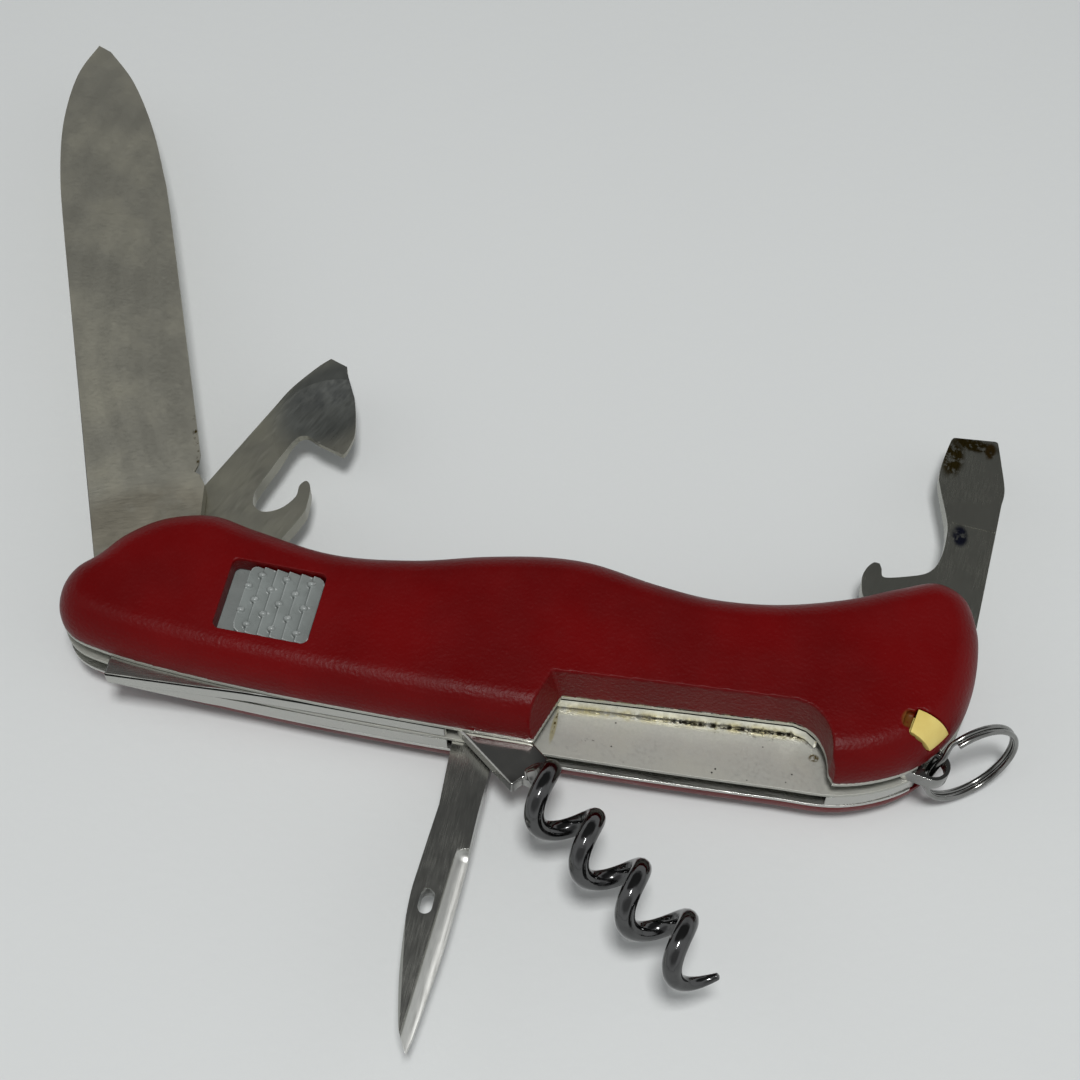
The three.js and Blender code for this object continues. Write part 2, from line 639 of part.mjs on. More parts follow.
function toothpick() {
  const head = pickBlock(0, clearOfHandle, pickHead.width, pickZ, handleThickness + 1);
  const pick = pickBlock(-pickBlade.length, 0.5, pickBlade.width, pickBladeZ, pickBladeZ + pickBlade.thickness);
  return scaleBlank(true).intersect(head).add(pick);
}

function tweezerHeadBody() {
  const [x, y] = tweezerMouth;
  const half = tweezerHead.width / 2;
  const around = boxBetween([x, y - half, tweezerZ],
    [x + clearOfHandle, y + half, tweezerZ + tweezerHead.thickness]);
  return scaleBlank(false).intersect(around);
}

function tweezerLeafBody(z) {
  const [x, y] = tweezerMouth;
  const [half, tip] = [tweezerLeaf.width / 2, tweezerLeaf.tip / 2];
  const shape = shapeOf([[x, y - half], [x, y + half]], [[tweezerEnd, y + tip], [tweezerEnd, y - tip]]);
  return plate(shape, z, tweezerLeaf.thickness);
}

// ---- Key ring ----

function shackle() {
  const [ex, ey] = ringEye;
  const [px, py] = shacklePivot;
  const round = 3.2; // about the rivet
  const rim = eyeHole + eyeRim;
  const shape = shapeOf(
    arc([px, py], round, 50, 256, 9),
    arc([ex, ey], rim, 256, 410, 8),
  );
  return plate(shape, frontLayerZ + toolClearance, toolThickness,
    [circle(shacklePivot, shackleRivetRadius + rivetClearance), circle(ringEye, eyeHole)]);
}

// The ring's two coils pass through the eye and hang from it, in a plane that is almost upright.
const ringNormal = new THREE.Vector3(0.578, -0.802, 0.153).normalize();
const eyeCentre = new THREE.Vector3(...ringEye, frontLayerZ + layerThickness / 2);
const ringFall = new THREE.Vector3(-0.777, -0.481, 0.411);
ringFall.addScaledVector(ringNormal, -ringFall.dot(ringNormal)).normalize();
const ringCentre = eyeCentre.clone()
  .addScaledVector(ringFall, -ringRadius)
  .addScaledVector(ringNormal, ringSeat);

function keyRing() {
  const across = new THREE.Vector3().crossVectors(ringNormal, ringFall);
  const path = new Helix((t) => {
    const turn = ringTurns * (t - 0.5);
    const a = 2 * Math.PI * turn + rad(ringJogAngle);
    const crossed = THREE.MathUtils.smoothstep(turn, -ringJog / 2, ringJog / 2);
    return ringCentre.clone()
      .addScaledVector(ringFall, ringRadius * Math.cos(a))
      .addScaledVector(across, ringRadius * Math.sin(a))
      .addScaledVector(ringNormal, ringPitch * (crossed - 0.5)).toArray();
  });
  return solid(tube(path, ringWire, 7, 60));
}

// ---- Assembly ----

const group = new THREE.Group();

addPart(group, 'rear_scale', rearScale(), redNylon);
addPart(group, 'rear_liner', liner(rearLinerZ), steel);
addPart(group, 'opener_spring', openerSpring(), steel);
addPart(group, 'centre_liner', liner(centreLinerZ), steel);
addPart(group, 'blade_spring', bladeSpring(), steel);
addPart(group, 'front_liner', liner(frontLinerZ).subtract(plate(recessShape(), frontLinerZ - 1, 3)), steel);
addPart(group, 'front_scale', frontScale(), redNylon);

for (const [name, rivet] of Object.entries(rivets)) {
  addPart(group, name + '_rivet', rivetBody(rivet), brass);
  if (!rivet.bushing) continue;
  addPart(group, name + '_rear_bushing', bushing(rivet, rearLinerZ - bushingThickness), brass);
  addPart(group, name + '_front_bushing', bushing(rivet, frontScaleZ), brass);
}

const frontTools = frontLayerZ + toolClearance;
const rearTools = rearLayerZ + toolClearance;
const tools = [
  ['main_blade', blade, bladePivot, bladeAngle, frontTools, bladeSteel],
  ['can_opener', canOpener, bladePivot, canAngle, rearTools, toolSteel],
  ['bottle_opener', bottleOpener, bottlePivot, bottleAngle, rearTools, toolSteel],
  ['corkscrew', corkscrew, backPivot, corkscrewAngle, frontTools, darkChrome],
  ['reamer', reamer, backPivot, reamerAngle, rearTools, toolSteel],
];
for (const [name, make, pivot, angle, z, finish] of tools) {
  const hinge = hingeGroup(pivot, angle, z);
  addPart(hinge, name, make(), finish);
  group.add(hinge);
}

addPart(group, 'lock_button', lockButton(), greyPlastic);
addPart(group, 'lock_plate', lockPlate(), steel);
addPart(group, 'lock_return_spring', lockReturnSpring(), steel);

addPart(group, 'toothpick', toothpick(), ivoryPlastic);
addPart(group, 'tweezer_head', tweezerHeadBody(), greyPlastic);
const leafGap = tweezerHead.thickness / 2 - tweezerLeaf.thickness;
addPart(group, 'tweezer_leaf_rear', tweezerLeafBody(tweezerZ + leafGap / 2), steel);
addPart(group, 'tweezer_leaf_front',
  tweezerLeafBody(tweezerZ + tweezerHead.thickness - leafGap / 2 - tweezerLeaf.thickness), steel);

addPart(group, 'key_ring_shackle', shackle(), nickel);
addPart(group, 'key_ring', keyRing(), nickel);

export default group;
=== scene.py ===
"""Looks of a two-layer folding pocket tool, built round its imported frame.

Every sub-assembly is a class: its sizes are fields, and its methods build and dress its meshes.
Lengths are in millimetres in the fields and become metres where a mesh is made.
"""

import json
import logging
import math
from contextlib import contextmanager
from dataclasses import dataclass
from enum import Enum
from typing import Callable, Iterator, Sequence

import bmesh
import bpy
from mathutils import Matrix, Vector

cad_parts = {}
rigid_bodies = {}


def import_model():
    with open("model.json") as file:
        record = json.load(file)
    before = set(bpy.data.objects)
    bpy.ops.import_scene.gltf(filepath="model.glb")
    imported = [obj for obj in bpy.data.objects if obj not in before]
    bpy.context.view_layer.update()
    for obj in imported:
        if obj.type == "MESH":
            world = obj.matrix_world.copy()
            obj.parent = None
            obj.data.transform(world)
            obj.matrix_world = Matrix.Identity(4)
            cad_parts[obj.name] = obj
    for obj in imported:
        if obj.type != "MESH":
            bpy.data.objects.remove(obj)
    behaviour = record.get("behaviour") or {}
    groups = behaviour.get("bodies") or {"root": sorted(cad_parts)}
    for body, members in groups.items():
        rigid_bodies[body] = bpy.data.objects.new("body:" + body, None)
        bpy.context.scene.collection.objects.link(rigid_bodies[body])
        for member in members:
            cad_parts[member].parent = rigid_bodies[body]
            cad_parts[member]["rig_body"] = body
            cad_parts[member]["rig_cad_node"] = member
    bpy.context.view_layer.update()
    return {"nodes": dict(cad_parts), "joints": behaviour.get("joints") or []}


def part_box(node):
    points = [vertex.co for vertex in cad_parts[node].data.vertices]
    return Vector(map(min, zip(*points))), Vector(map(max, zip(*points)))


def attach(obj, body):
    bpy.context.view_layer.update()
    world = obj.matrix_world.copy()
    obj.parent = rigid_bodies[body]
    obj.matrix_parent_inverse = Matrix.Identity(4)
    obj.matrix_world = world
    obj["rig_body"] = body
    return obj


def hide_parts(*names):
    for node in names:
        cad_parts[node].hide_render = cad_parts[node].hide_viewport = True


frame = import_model()

MM = 0.001
OVERCUT = 1.0  # how far a cutter stands out of what it cuts, in millimetres
SAME_POINT = 1e-4  # outline points nearer than this are one, in millimetres
DOUBLES = 1e-7  # vertices nearer than this are one, in metres
CAD_DOUBLES = 2e-6  # the same for the loose triangles of a CAD node
ON_PLANE = 1e-7  # how near a face lies to a plane that it is picked by, in metres
FLAT_ANGLE = 0.5  # faces within this many degrees of each other are one flat face
FLAT_WEIGHT = 80  # how strongly broad flat faces hold their shading
CORNER_STEPS = 6  # chords in a rounded corner
FOOT_STEPS = 12  # chords in the round foot of a folding tool
Body = bpy.types.Object
Socket = bpy.types.NodeSocket
Point = tuple[float, float]
Run = Sequence[Point]
Colour = tuple[float, float, float]
log = logging.getLogger("pocket_tool")


# ---------------------------------------------------------------- outlines


def arc(centre: Point, radius: float, start: float, end: float, steps: int = 8) -> list[Point]:
    """Points along an arc.

    Args:
        centre: The arc's centre.
        radius: Its radius.
        start: The first point's angle, in degrees.
        end: The last point's angle, in degrees.
        steps: How many chords it has.

    Returns:
        The points, first to last.
    """
    angles = [math.radians(start + (end - start) * i / steps) for i in range(steps + 1)]
    return [(centre[0] + radius * math.cos(a), centre[1] + radius * math.sin(a)) for a in angles]


def along_run(run: Run, steps: int) -> list[Point]:
    """Points on the smooth curve through a run, or its two ends if it is straight.

    Args:
        run: The points that the curve passes through.
        steps: How many chords stand between two of them.

    Returns:
        The points of the curve.
    """
    if len(run) < 3:
        return list(run)
    points = []
    for i in range(len(run) - 1):
        before, a, b = run[max(i - 1, 0)], run[i], run[i + 1]
        after = run[min(i + 2, len(run) - 1)]
        for step in range(steps):
            t = step / steps
            point = []
            for k in (0, 1):
                rise, fall = (b[k] - before[k]) / 2, (after[k] - a[k]) / 2
                cubic = 2 * a[k] - 2 * b[k] + rise + fall
                square = -3 * a[k] + 3 * b[k] - 2 * rise - fall
                point.append(((cubic * t + square) * t + rise) * t + a[k])
            points.append(tuple(point))
    return points + [run[-1]]


def outline(*runs: Run, steps: int = 8) -> list[Point]:
    """A closed outline from runs of points, each a smooth curve or a straight line.

    Args:
        runs: The runs, in order round the outline.
        steps: How many chords stand between two points of a curve.

    Returns:
        The outline's points, with no two alike next to each other.
    """
    points = [p for run in runs for p in along_run(run, steps)]
    return [p for p, q in zip(points, points[-1:] + points[:-1]) if math.dist(p, q) > SAME_POINT]


def closed_curve(knots: Run, steps: int) -> list[Point]:
    """A smooth closed curve whose pace follows the distance between its knots.

    Args:
        knots: The points that the curve passes through.
        steps: How many chords stand between two knots.

    Returns:
        The points of the curve.
    """
    points = []
    count = len(knots)
    for i in range(count):
        p = [Vector(knots[(i + k) % count]) for k in (-1, 0, 1, 2)]
        pace = [math.sqrt((p[k + 1] - p[k]).length) for k in range(3)]
        here = (p[2] - p[1]) / pace[1]
        start = (p[1] - p[0]) / pace[0] - (p[2] - p[0]) / (pace[0] + pace[1]) + here
        end = here - (p[3] - p[1]) / (pace[1] + pace[2]) + (p[3] - p[2]) / pace[2]
        start, end = start * pace[1], end * pace[1]
        for step in range(steps):
            t = step / steps
            cubic = 2 * p[1] - 2 * p[2] + start + end
            square = -3 * p[1] + 3 * p[2] - 2 * start - end
            points.append(tuple(((cubic * t + square) * t + start) * t + p[1]))
    return points


def rounded(centre: Point, length: float, width: float, corner: float) -> list[Point]:
    """The outline of a rectangle with round corners.

    Args:
        centre: Its middle, in millimetres.
        length: Its length, in millimetres.
        width: Its width, in millimetres.
        corner: The radius of its corners.

    Returns:
        The outline.
    """
    a, b = length / 2 - corner, width / 2 - corner
    corners = [(a, b, 0), (-a, b, 90), (-a, -b, 180), (a, -b, 270)]
    return [p for x, y, start in corners
            for p in arc((centre[0] + x, centre[1] + y), corner, start, start + 90, CORNER_STEPS)]


def moved(points: Run, pivot: Point, angle: float) -> list[Point]:
    """Points of a tool's own plan, turned and set on its pivot in the handle's plan."""
    turn = Matrix.Rotation(math.radians(angle), 2)
    return [tuple(turn @ Vector(p) + Vector(pivot)) for p in points]


# ---------------------------------------------------------------- bench: meshes made as by hand


def deselect() -> None:
    """Leaves nothing selected and nothing active."""
    for thing in bpy.context.selected_objects:
        thing.select_set(False)
    bpy.context.view_layer.objects.active = None


def activate(thing: Body) -> None:
    """Makes one object the only selected one, and the active one.

    Args:
        thing: The object.
    """
    deselect()
    thing.select_set(True)
    bpy.context.view_layer.objects.active = thing


@contextmanager
def editing(thing: Body) -> Iterator[None]:
    """Holds an object in edit mode with nothing of it selected.

    Args:
        thing: The object.

    Yields:
        Nothing, while the object is in edit mode.
    """
    activate(thing)
    bpy.ops.object.mode_set(mode="EDIT")
    bpy.ops.mesh.select_mode(type="VERT")
    bpy.ops.mesh.select_all(action="DESELECT")
    yield
    bpy.ops.object.mode_set(mode="OBJECT")


def pick_faces(thing: Body, test: Callable[[Vector, Vector], bool]) -> None:
    """Selects only the faces of the edited mesh that pass a test of their middle and normal.

    Args:
        thing: The object.
        test: Says whether a face is picked, from its middle and its normal.
    """
    bpy.ops.mesh.select_mode(type="FACE")
    bpy.ops.mesh.select_all(action="DESELECT")
    shape = bmesh.from_edit_mesh(thing.data)
    for face in shape.faces:
        face.select_set(test(face.calc_center_median(), face.normal))
    bmesh.update_edit_mesh(thing.data)


def face_outwards() -> None:
    """Merges the edited mesh's doubles and turns its faces outwards."""
    bpy.ops.mesh.select_all(action="SELECT")
    bpy.ops.mesh.remove_doubles(threshold=DOUBLES)
    bpy.ops.mesh.normals_make_consistent(inside=False)


def extrude(rise: float) -> None:
    """Extrudes what is selected upwards by a distance in millimetres."""
    bpy.ops.mesh.extrude_region_move(TRANSFORM_OT_translate={"value": (0, 0, rise * MM)})


def round_off(inset: float, height: float, turns: Sequence[float]) -> None:
    """Raises the selected face in rings that follow a quarter of an ellipse.

    Args:
        inset: The ellipse's reach inwards, in millimetres.
        height: Its height, in millimetres.
        turns: The angle of each ring on it, in radians.
    """
    for a, b in zip(turns, turns[1:]):
        bpy.ops.mesh.inset(thickness=inset * (math.cos(a) - math.cos(b)) * MM,
                           depth=height * (math.sin(b) - math.sin(a)) * MM)


def apply(thing: Body, kind: str, **settings: object) -> None:
    """Adds a modifier with its settings and applies it.

    Args:
        thing: The object.
        kind: The modifier's type.
        settings: The modifier's settings.
    """
    activate(thing)
    modifier = thing.modifiers.new(kind.title(), kind)
    for name, value in settings.items():
        setattr(modifier, name, value)
    bpy.ops.object.modifier_apply(modifier=modifier.name)


def sheet_of(name: str, points: Run, height: float) -> Body:
    """A flat face of an outline.

    Args:
        name: The object's name.
        points: The outline, in millimetres.
        height: Where it lies, in millimetres.

    Returns:
        The new object.
    """
    deselect()
    bpy.ops.mesh.primitive_circle_add(vertices=len(points))
    body = bpy.context.object
    body.name = name
    for vertex, (x, y) in zip(body.data.vertices, points):
        vertex.co = Vector((x, y, height)) * MM
    with editing(body):
        bpy.ops.mesh.select_all(action="SELECT")
        bpy.ops.mesh.edge_face_add()
    return body


def plate(name: str, points: Run, low: float, high: float) -> Body:
    """A plate of an outline between two heights, all in millimetres.

    Args:
        name: The object's name.
        points: The outline, in millimetres.
        low: Its lower level, in millimetres.
        high: Its upper level, in millimetres.

    Returns:
        The new object.
    """
    body = sheet_of(name, points, low)
    with editing(body):
        bpy.ops.mesh.select_all(action="SELECT")
        extrude(high - low)
        face_outwards()
    return body


def rod(name: str, centre: Point, radius: float, low: float, high: float,
        sides: int = 48) -> Body:
    """An upright cylinder between two heights, in millimetres.

    Args:
        name: The object's name.
        centre: Its middle, in millimetres.
        radius: Its radius, in millimetres.
        low: Its lower level, in millimetres.
        high: Its upper level, in millimetres.
        sides: How many sides it has.

    Returns:
        The new object.
    """
    deselect()
    place = (centre[0] * MM, centre[1] * MM, (low + high) / 2 * MM)
    bpy.ops.mesh.primitive_cylinder_add(vertices=sides, radius=radius * MM,
                                        depth=(high - low) * MM, location=place)
    body = bpy.context.object
    body.name = name
    settle(body)
    return body


def block(name: str, centre: Vector, size: Vector, turns: dict[str, float] | None = None,
          about: Vector | None = None) -> Body:
    """A block at its place, turned about one axis after another.

    Args:
        name: The object's name.
        centre: Its middle before it is turned, in millimetres.
        size: Its three sides, in millimetres.
        turns: Degrees about each named axis, in order.
        about: The point it turns about; its own middle where none is given.

    Returns:
        The new object, at the origin with its place in its mesh.
    """
    deselect()
    bpy.ops.mesh.primitive_cube_add(size=1, location=Vector(centre) * MM)
    body = bpy.context.object
    body.name = name
    body.scale = Vector(size) * MM
    settle(body)
    middle = Vector(centre if about is None else about) * MM
    for axis, angle in (turns or {}).items():
        turn = Matrix.Rotation(math.radians(angle), 4, axis)
        body.data.transform(Matrix.Translation(middle) @ turn @ Matrix.Translation(-middle))
    return body


def settle(thing: Body) -> None:
    """Puts an object's place, turn and size into its mesh."""
    activate(thing)
    bpy.ops.object.transform_apply(location=True, rotation=True, scale=True)


def combine(body: Body, others: Sequence[Body], way: str = "DIFFERENCE") -> None:
    """Cuts other closed shapes out of a body, or joins them to it, and removes them.

    Args:
        body: The object.
        others: The other closed shapes.
        way: DIFFERENCE, UNION or INTERSECT.
    """
    for other in others:
        apply(body, "BOOLEAN", operation=way, object=other, solver="EXACT")
        bpy.data.objects.remove(other)


def ease_edges(body: Body, width: float, segments: int = 2, angle: float = 35) -> None:
    """Rounds the sharp edges of a cut shape and smooths what lies between them.

    Args:
        body: The object.
        width: The rounding's width, in millimetres.
        segments: How many strips it has.
        angle: Edges sharper than this many degrees are rounded.
    """
    apply(body, "BEVEL", width=width * MM, segments=segments, limit_method="ANGLE",
          angle_limit=math.radians(angle), use_clamp_overlap=True, miter_outer="MITER_ARC")
    smooth(body, angle)


def smooth(body: Body, angle: float = 35) -> None:
    """Shades a body smoothly, with broad flat faces kept flat.

    Args:
        body: The object.
        angle: Edges sharper than this many degrees stay sharp.
    """
    activate(body)
    bpy.ops.object.shade_smooth_by_angle(angle=math.radians(angle))
    apply(body, "WEIGHTED_NORMAL", keep_sharp=True, weight=FLAT_WEIGHT)


def wire(name: str, path: Sequence[Vector], radii: Sequence[float], sides: int = 24) -> Body:
    """A closed round wire along a path.

    Args:
        name: The object's name.
        path: Its middle line, in millimetres.
        radii: Its radius at each point, in millimetres.
        sides: How many sides its section has.

    Returns:
        The wire as a mesh.
    """
    deselect()
    bpy.ops.curve.primitive_nurbs_path_add()
    curve = bpy.context.object
    curve.name = name
    curve.data.splines.clear()
    spline = curve.data.splines.new("POLY")
    spline.points.add(len(path) - 1)
    for knot, place, radius in zip(spline.points, path, radii):
        knot.co = (*(Vector(place) * MM), 1)
        knot.radius = radius * MM
    curve.data.bevel_depth = 1
    curve.data.bevel_resolution = sides // 4 - 1
    curve.data.use_fill_caps = True
    bpy.ops.object.convert(target="MESH")
    body = bpy.context.object
    with editing(body):
        face_outwards()
    return body


def traced(node: str, name: str) -> Body:
    """A clean copy of a CAD node's mesh, merged and with its flat faces made whole.

    Args:
        node: The CAD node's name.
        name: The object's name.

    Returns:
        The copy, bare of materials and of the marks that the frame left on it.
    """
    source = frame["nodes"][node]
    body = source.copy()
    body.data = source.data.copy()
    body.name = name
    body.parent = None
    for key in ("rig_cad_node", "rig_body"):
        if key in body:
            del body[key]
    bpy.context.scene.collection.objects.link(body)
    body.data.materials.clear()
    activate(body)
    bpy.ops.mesh.customdata_custom_splitnormals_clear()
    with editing(body):
        bpy.ops.mesh.select_all(action="SELECT")
        bpy.ops.mesh.remove_doubles(threshold=CAD_DOUBLES)
        bpy.ops.mesh.dissolve_limited(angle_limit=math.radians(FLAT_ANGLE))
    return body


def place_piece(body: Body, node: str, group: str, finish: "Finish") -> Body:
    """Dresses a finished piece, gives it its body and hides the CAD node that it stands for.

    Args:
        body: The object.
        node: The CAD node's name.
        group: The body that it rides on.
        finish: The finish that it gets.

    Returns:
        The piece.
    """
    body.data.materials.clear()
    body.data.materials.append(finish.material())
    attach(body, group)
    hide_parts(node)
    return body


# ---------------------------------------------------------------- finishes


def dimmed(colour: Colour, share: float, lift: float = 0) -> Colour:
    """A colour times a share, with a little added where lift is given."""
    return tuple(share * c + lift for c in colour)


class Wiring:
    """A material's nodes as they are wired up.

    Args:
        name: The material's name.
    """

    def __init__(self, name: str) -> None:
        """Starts a material with a bare shader and Object coordinates.

        Args:
            name: The material's name.
        """
        self.material = bpy.data.materials.new(name)
        self.material.use_nodes = True
        self.tree = self.material.node_tree
        self.shader = self.tree.nodes["Principled BSDF"]
        self.place = self.tree.nodes.new("ShaderNodeTexCoord").outputs["Object"]

    def set(self, **values: float) -> None:
        """Sets plain values on the shader, with spaces in a socket's name written as _."""
        for name, value in values.items():
            self.shader.inputs[name.replace("_", " ")].default_value = value

    def link(self, output: Socket, socket: str) -> None:
        """Feeds an output to one of the shader's sockets."""
        self.tree.links.new(output, self.shader.inputs[socket])

    def node(self, kind: str, inputs: dict | None = None, **settings: object) -> bpy.types.Node:
        """Adds a node.

        Args:
            kind: The node's type, without its ShaderNode prefix.
            inputs: Each input's plain value or the output that feeds it.
            settings: The node's own settings.

        Returns:
            The new node.
        """
        made = self.tree.nodes.new("ShaderNode" + kind)
        for name, value in settings.items():
            setattr(made, name, value)
        for name, value in (inputs or {}).items():
            if isinstance(value, Socket):
                self.tree.links.new(value, made.inputs[name])
            else:
                made.inputs[name].default_value = value
        return made

    def grained(self, stretch: Sequence[float]) -> Socket:
        """The pattern coordinates stretched along the axes, for a pattern with a grain."""
        return self.node("Mapping", {"Vector": self.place, "Scale": stretch}).outputs[0]

    def laid_out(self, at: Point, turn: float = 0,
                 stretch: Sequence[float] = (1, 1, 1)) -> Socket:
        """The pattern coordinates in a plan of their own.

        Args:
            at: The plan's origin, in millimetres.
            turn: How far its X axis is turned, in degrees.
            stretch: Its scale along each axis.

        Returns:
            The coordinates in that plan.
        """
        inputs = {"Vector": self.place, "Location": (at[0] * MM, at[1] * MM, 0),
                  "Rotation": (0, 0, math.radians(turn)), "Scale": stretch}
        return self.node("Mapping", inputs, vector_type="TEXTURE").outputs[0]

    def size_of(self, value: Socket) -> Socket:
        """A value without its sign."""
        return self.node("Math", {0: value}, operation="ABSOLUTE").outputs[0]

    def noise(self, size: float, detail: float = 3, place: Socket | None = None,
              roughness: float = 0.5) -> Socket:
        """Noise with features of about a size in millimetres.

        Args:
            size: The features' size, in millimetres.
            detail: How many finer layers it has.
            place: The coordinates; the plan's own where none are given.
            roughness: How strong the finer layers are.

        Returns:
            The noise, from 0 to 1.
        """
        made = self.node("TexNoise", {"Vector": place or self.place, "Scale": 1 / (size * MM),
                                      "Detail": detail, "Roughness": roughness})
        return made.outputs["Fac"]

    def ramp(self, source: Socket, low: float, high: float, start: float = 0,
             end: float = 1, smoothed: bool = True) -> Socket:
        """A value mapped from one span to another and held at its ends.

        Args:
            source: The value.
            low: Where its span starts.
            high: Where its span ends.
            start: What it becomes at the start.
            end: What it becomes at the end.
            smoothed: Whether it eases in and out.

        Returns:
            The mapped value.
        """
        made = self.node("MapRange", {"Value": source, "From Min": low, "From Max": high,
                                      "To Min": start, "To Max": end})
        made.interpolation_type = "SMOOTHSTEP" if smoothed else "LINEAR"
        return made.outputs[0]

    def sum(self, a: Socket, b: Socket) -> Socket:
        """Two values added."""
        return self.node("Math", {0: a, 1: b}, operation="ADD").outputs[0]

    def product(self, *sources: Socket) -> Socket:
        """Values multiplied.

        Args:
            sources: The values.

        Returns:
            Their product.
        """
        total = sources[0]
        for source in sources[1:]:
            total = self.node("Math", {0: total, 1: source}, operation="MULTIPLY").outputs[0]
        return total

    def mix(self, share: Socket, a: Socket | Colour,
            b: Socket | Colour) -> Socket:
        """Two colours mixed by a share.

        Args:
            share: The second colour's share.
            a: The first colour.
            b: The second colour.

        Returns:
            The mixed colour.
        """
        first, second, result = 6, 7, 2  # a Mix node's sockets for colours
        made = self.node("Mix", {0: share}, data_type="RGBA")
        for index, value in ((first, a), (second, b)):
            if isinstance(value, Socket):
                self.tree.links.new(value, made.inputs[index])
            else:
                made.inputs[index].default_value = (*value, 1)
        return made.outputs[result]

    def bump(self, *layers: tuple[Socket, float]) -> None:
        """Adds bumps, each a height pattern and its depth in millimetres.

        Args:
            layers: The patterns and their depths.
        """
        normal = None
        for height, depth in layers:
            inputs = {"Height": height, "Distance": depth * MM, "Strength": 1.0}
            if normal is not None:
                inputs["Normal"] = normal
            normal = self.node("Bump", inputs).outputs[0]
        self.link(normal, "Normal")

    def set_on(self, pivot: Point, turn: float) -> None:
        """Lays the patterns out in a plan of the piece's own, with X along it, from its pivot."""
        self.place = self.laid_out(pivot, turn)

    def marked(self, colour: Socket, mark: "Mark") -> Socket:
        """A colour with a mark over it.

        Args:
            colour: The colour so far.
            mark: The mark.

        Returns:
            The marked colour.
        """
        spot = self.laid_out(mark.at, mark.lean, (mark.reach[0] * MM, mark.reach[1] * MM, 1))
        reach = self.node("VectorMath", {0: spot}, operation="LENGTH").outputs["Value"]
        ragged = self.noise(mark.grain, detail=6, roughness=0.7)
        share = self.product(self.ramp(reach, *mark.fade, 1, 0), self.ramp(ragged, *mark.cover))
        return self.mix(share, colour, mark.colour)


@dataclass(frozen=True)
class Finish:
    """A finish: a material, and the name of a slot that nothing in this script reads."""

    name: str
    slot: str
    colour: Colour

    def material(self) -> bpy.types.Material:
        """The finish's material, made once."""
        return bpy.data.materials.get(self.name) or self.wire_up()

    def wire_up(self) -> bpy.types.Material:
        """Makes the material."""
        raise NotImplementedError


@dataclass(frozen=True)
class Mark:
    """A stain, smudge or scratch, in the plan of the piece that it is on.

    Args:
        at: Its middle, in millimetres.
        reach: Its half length and half width, in millimetres.
        colour: Its colour.
        lean: How far its length is turned from the X axis, in degrees.
        grain: The size of the ragged pattern that breaks it up, in millimetres.
        cover: The span of that pattern over which it fades in; lower values cover more.
        fade: The span of its reach over which it fades out.
    """

    at: Point
    reach: Point
    colour: Colour
    lean: float = 0
    grain: float = 1.0
    cover: tuple[float, float] = (0.42, 0.56)
    fade: tuple[float, float] = (0.55, 1.05)


@dataclass(frozen=True)
class MouldedNylon(Finish):
    """Moulded nylon with a fine grain and a satin sheen, worn a little smoother in places."""

    marks: tuple[Mark, ...] = ()
    grain: float = 0.055
    grain_size: float = 0.42
    speckle_size: float = 0.5
    wave_size: float = 2.2
    wave: float = 0.02
    patch_size: float = 14
    dark: float = 0.84
    pale: float = 1.1
    gloss: float = 0.11

    def wire_up(self) -> bpy.types.Material:
        """Makes the material.

        Returns:
            The material.
        """
        w = Wiring(self.name)
        broad = w.noise(self.patch_size)
        fine = w.noise(self.grain_size, detail=4, roughness=0.62)
        colour = w.mix(w.ramp(broad, 0.3, 0.7), dimmed(self.colour, self.dark),
                       dimmed(self.colour, self.pale))
        colour = w.mix(w.ramp(fine, 0.55, 0.8, 0, 0.22), colour, dimmed(self.colour, 1.35, 0.003))
        for mark in self.marks:
            colour = w.marked(colour, mark)
        w.link(colour, "Base Color")
        w.link(w.ramp(w.noise(5, detail=5), 0.3, 0.7, 0.33, 0.43), "Roughness")
        w.set(Specular_IOR_Level=self.gloss)
        cells = w.node("TexVoronoi", {"Vector": w.place, "Scale": 1 / (self.speckle_size * MM)})
        w.bump((fine, self.grain), (cells.outputs["Distance"], 0.45 * self.grain),
               (w.noise(self.wave_size), self.wave))
        return w.material


class Grain(Enum):
    """Which way a metal was ground."""

    ALONG = (1, 26, 26)
    ACROSS = (26, 1, 26)
    NONE = (6, 6, 6)


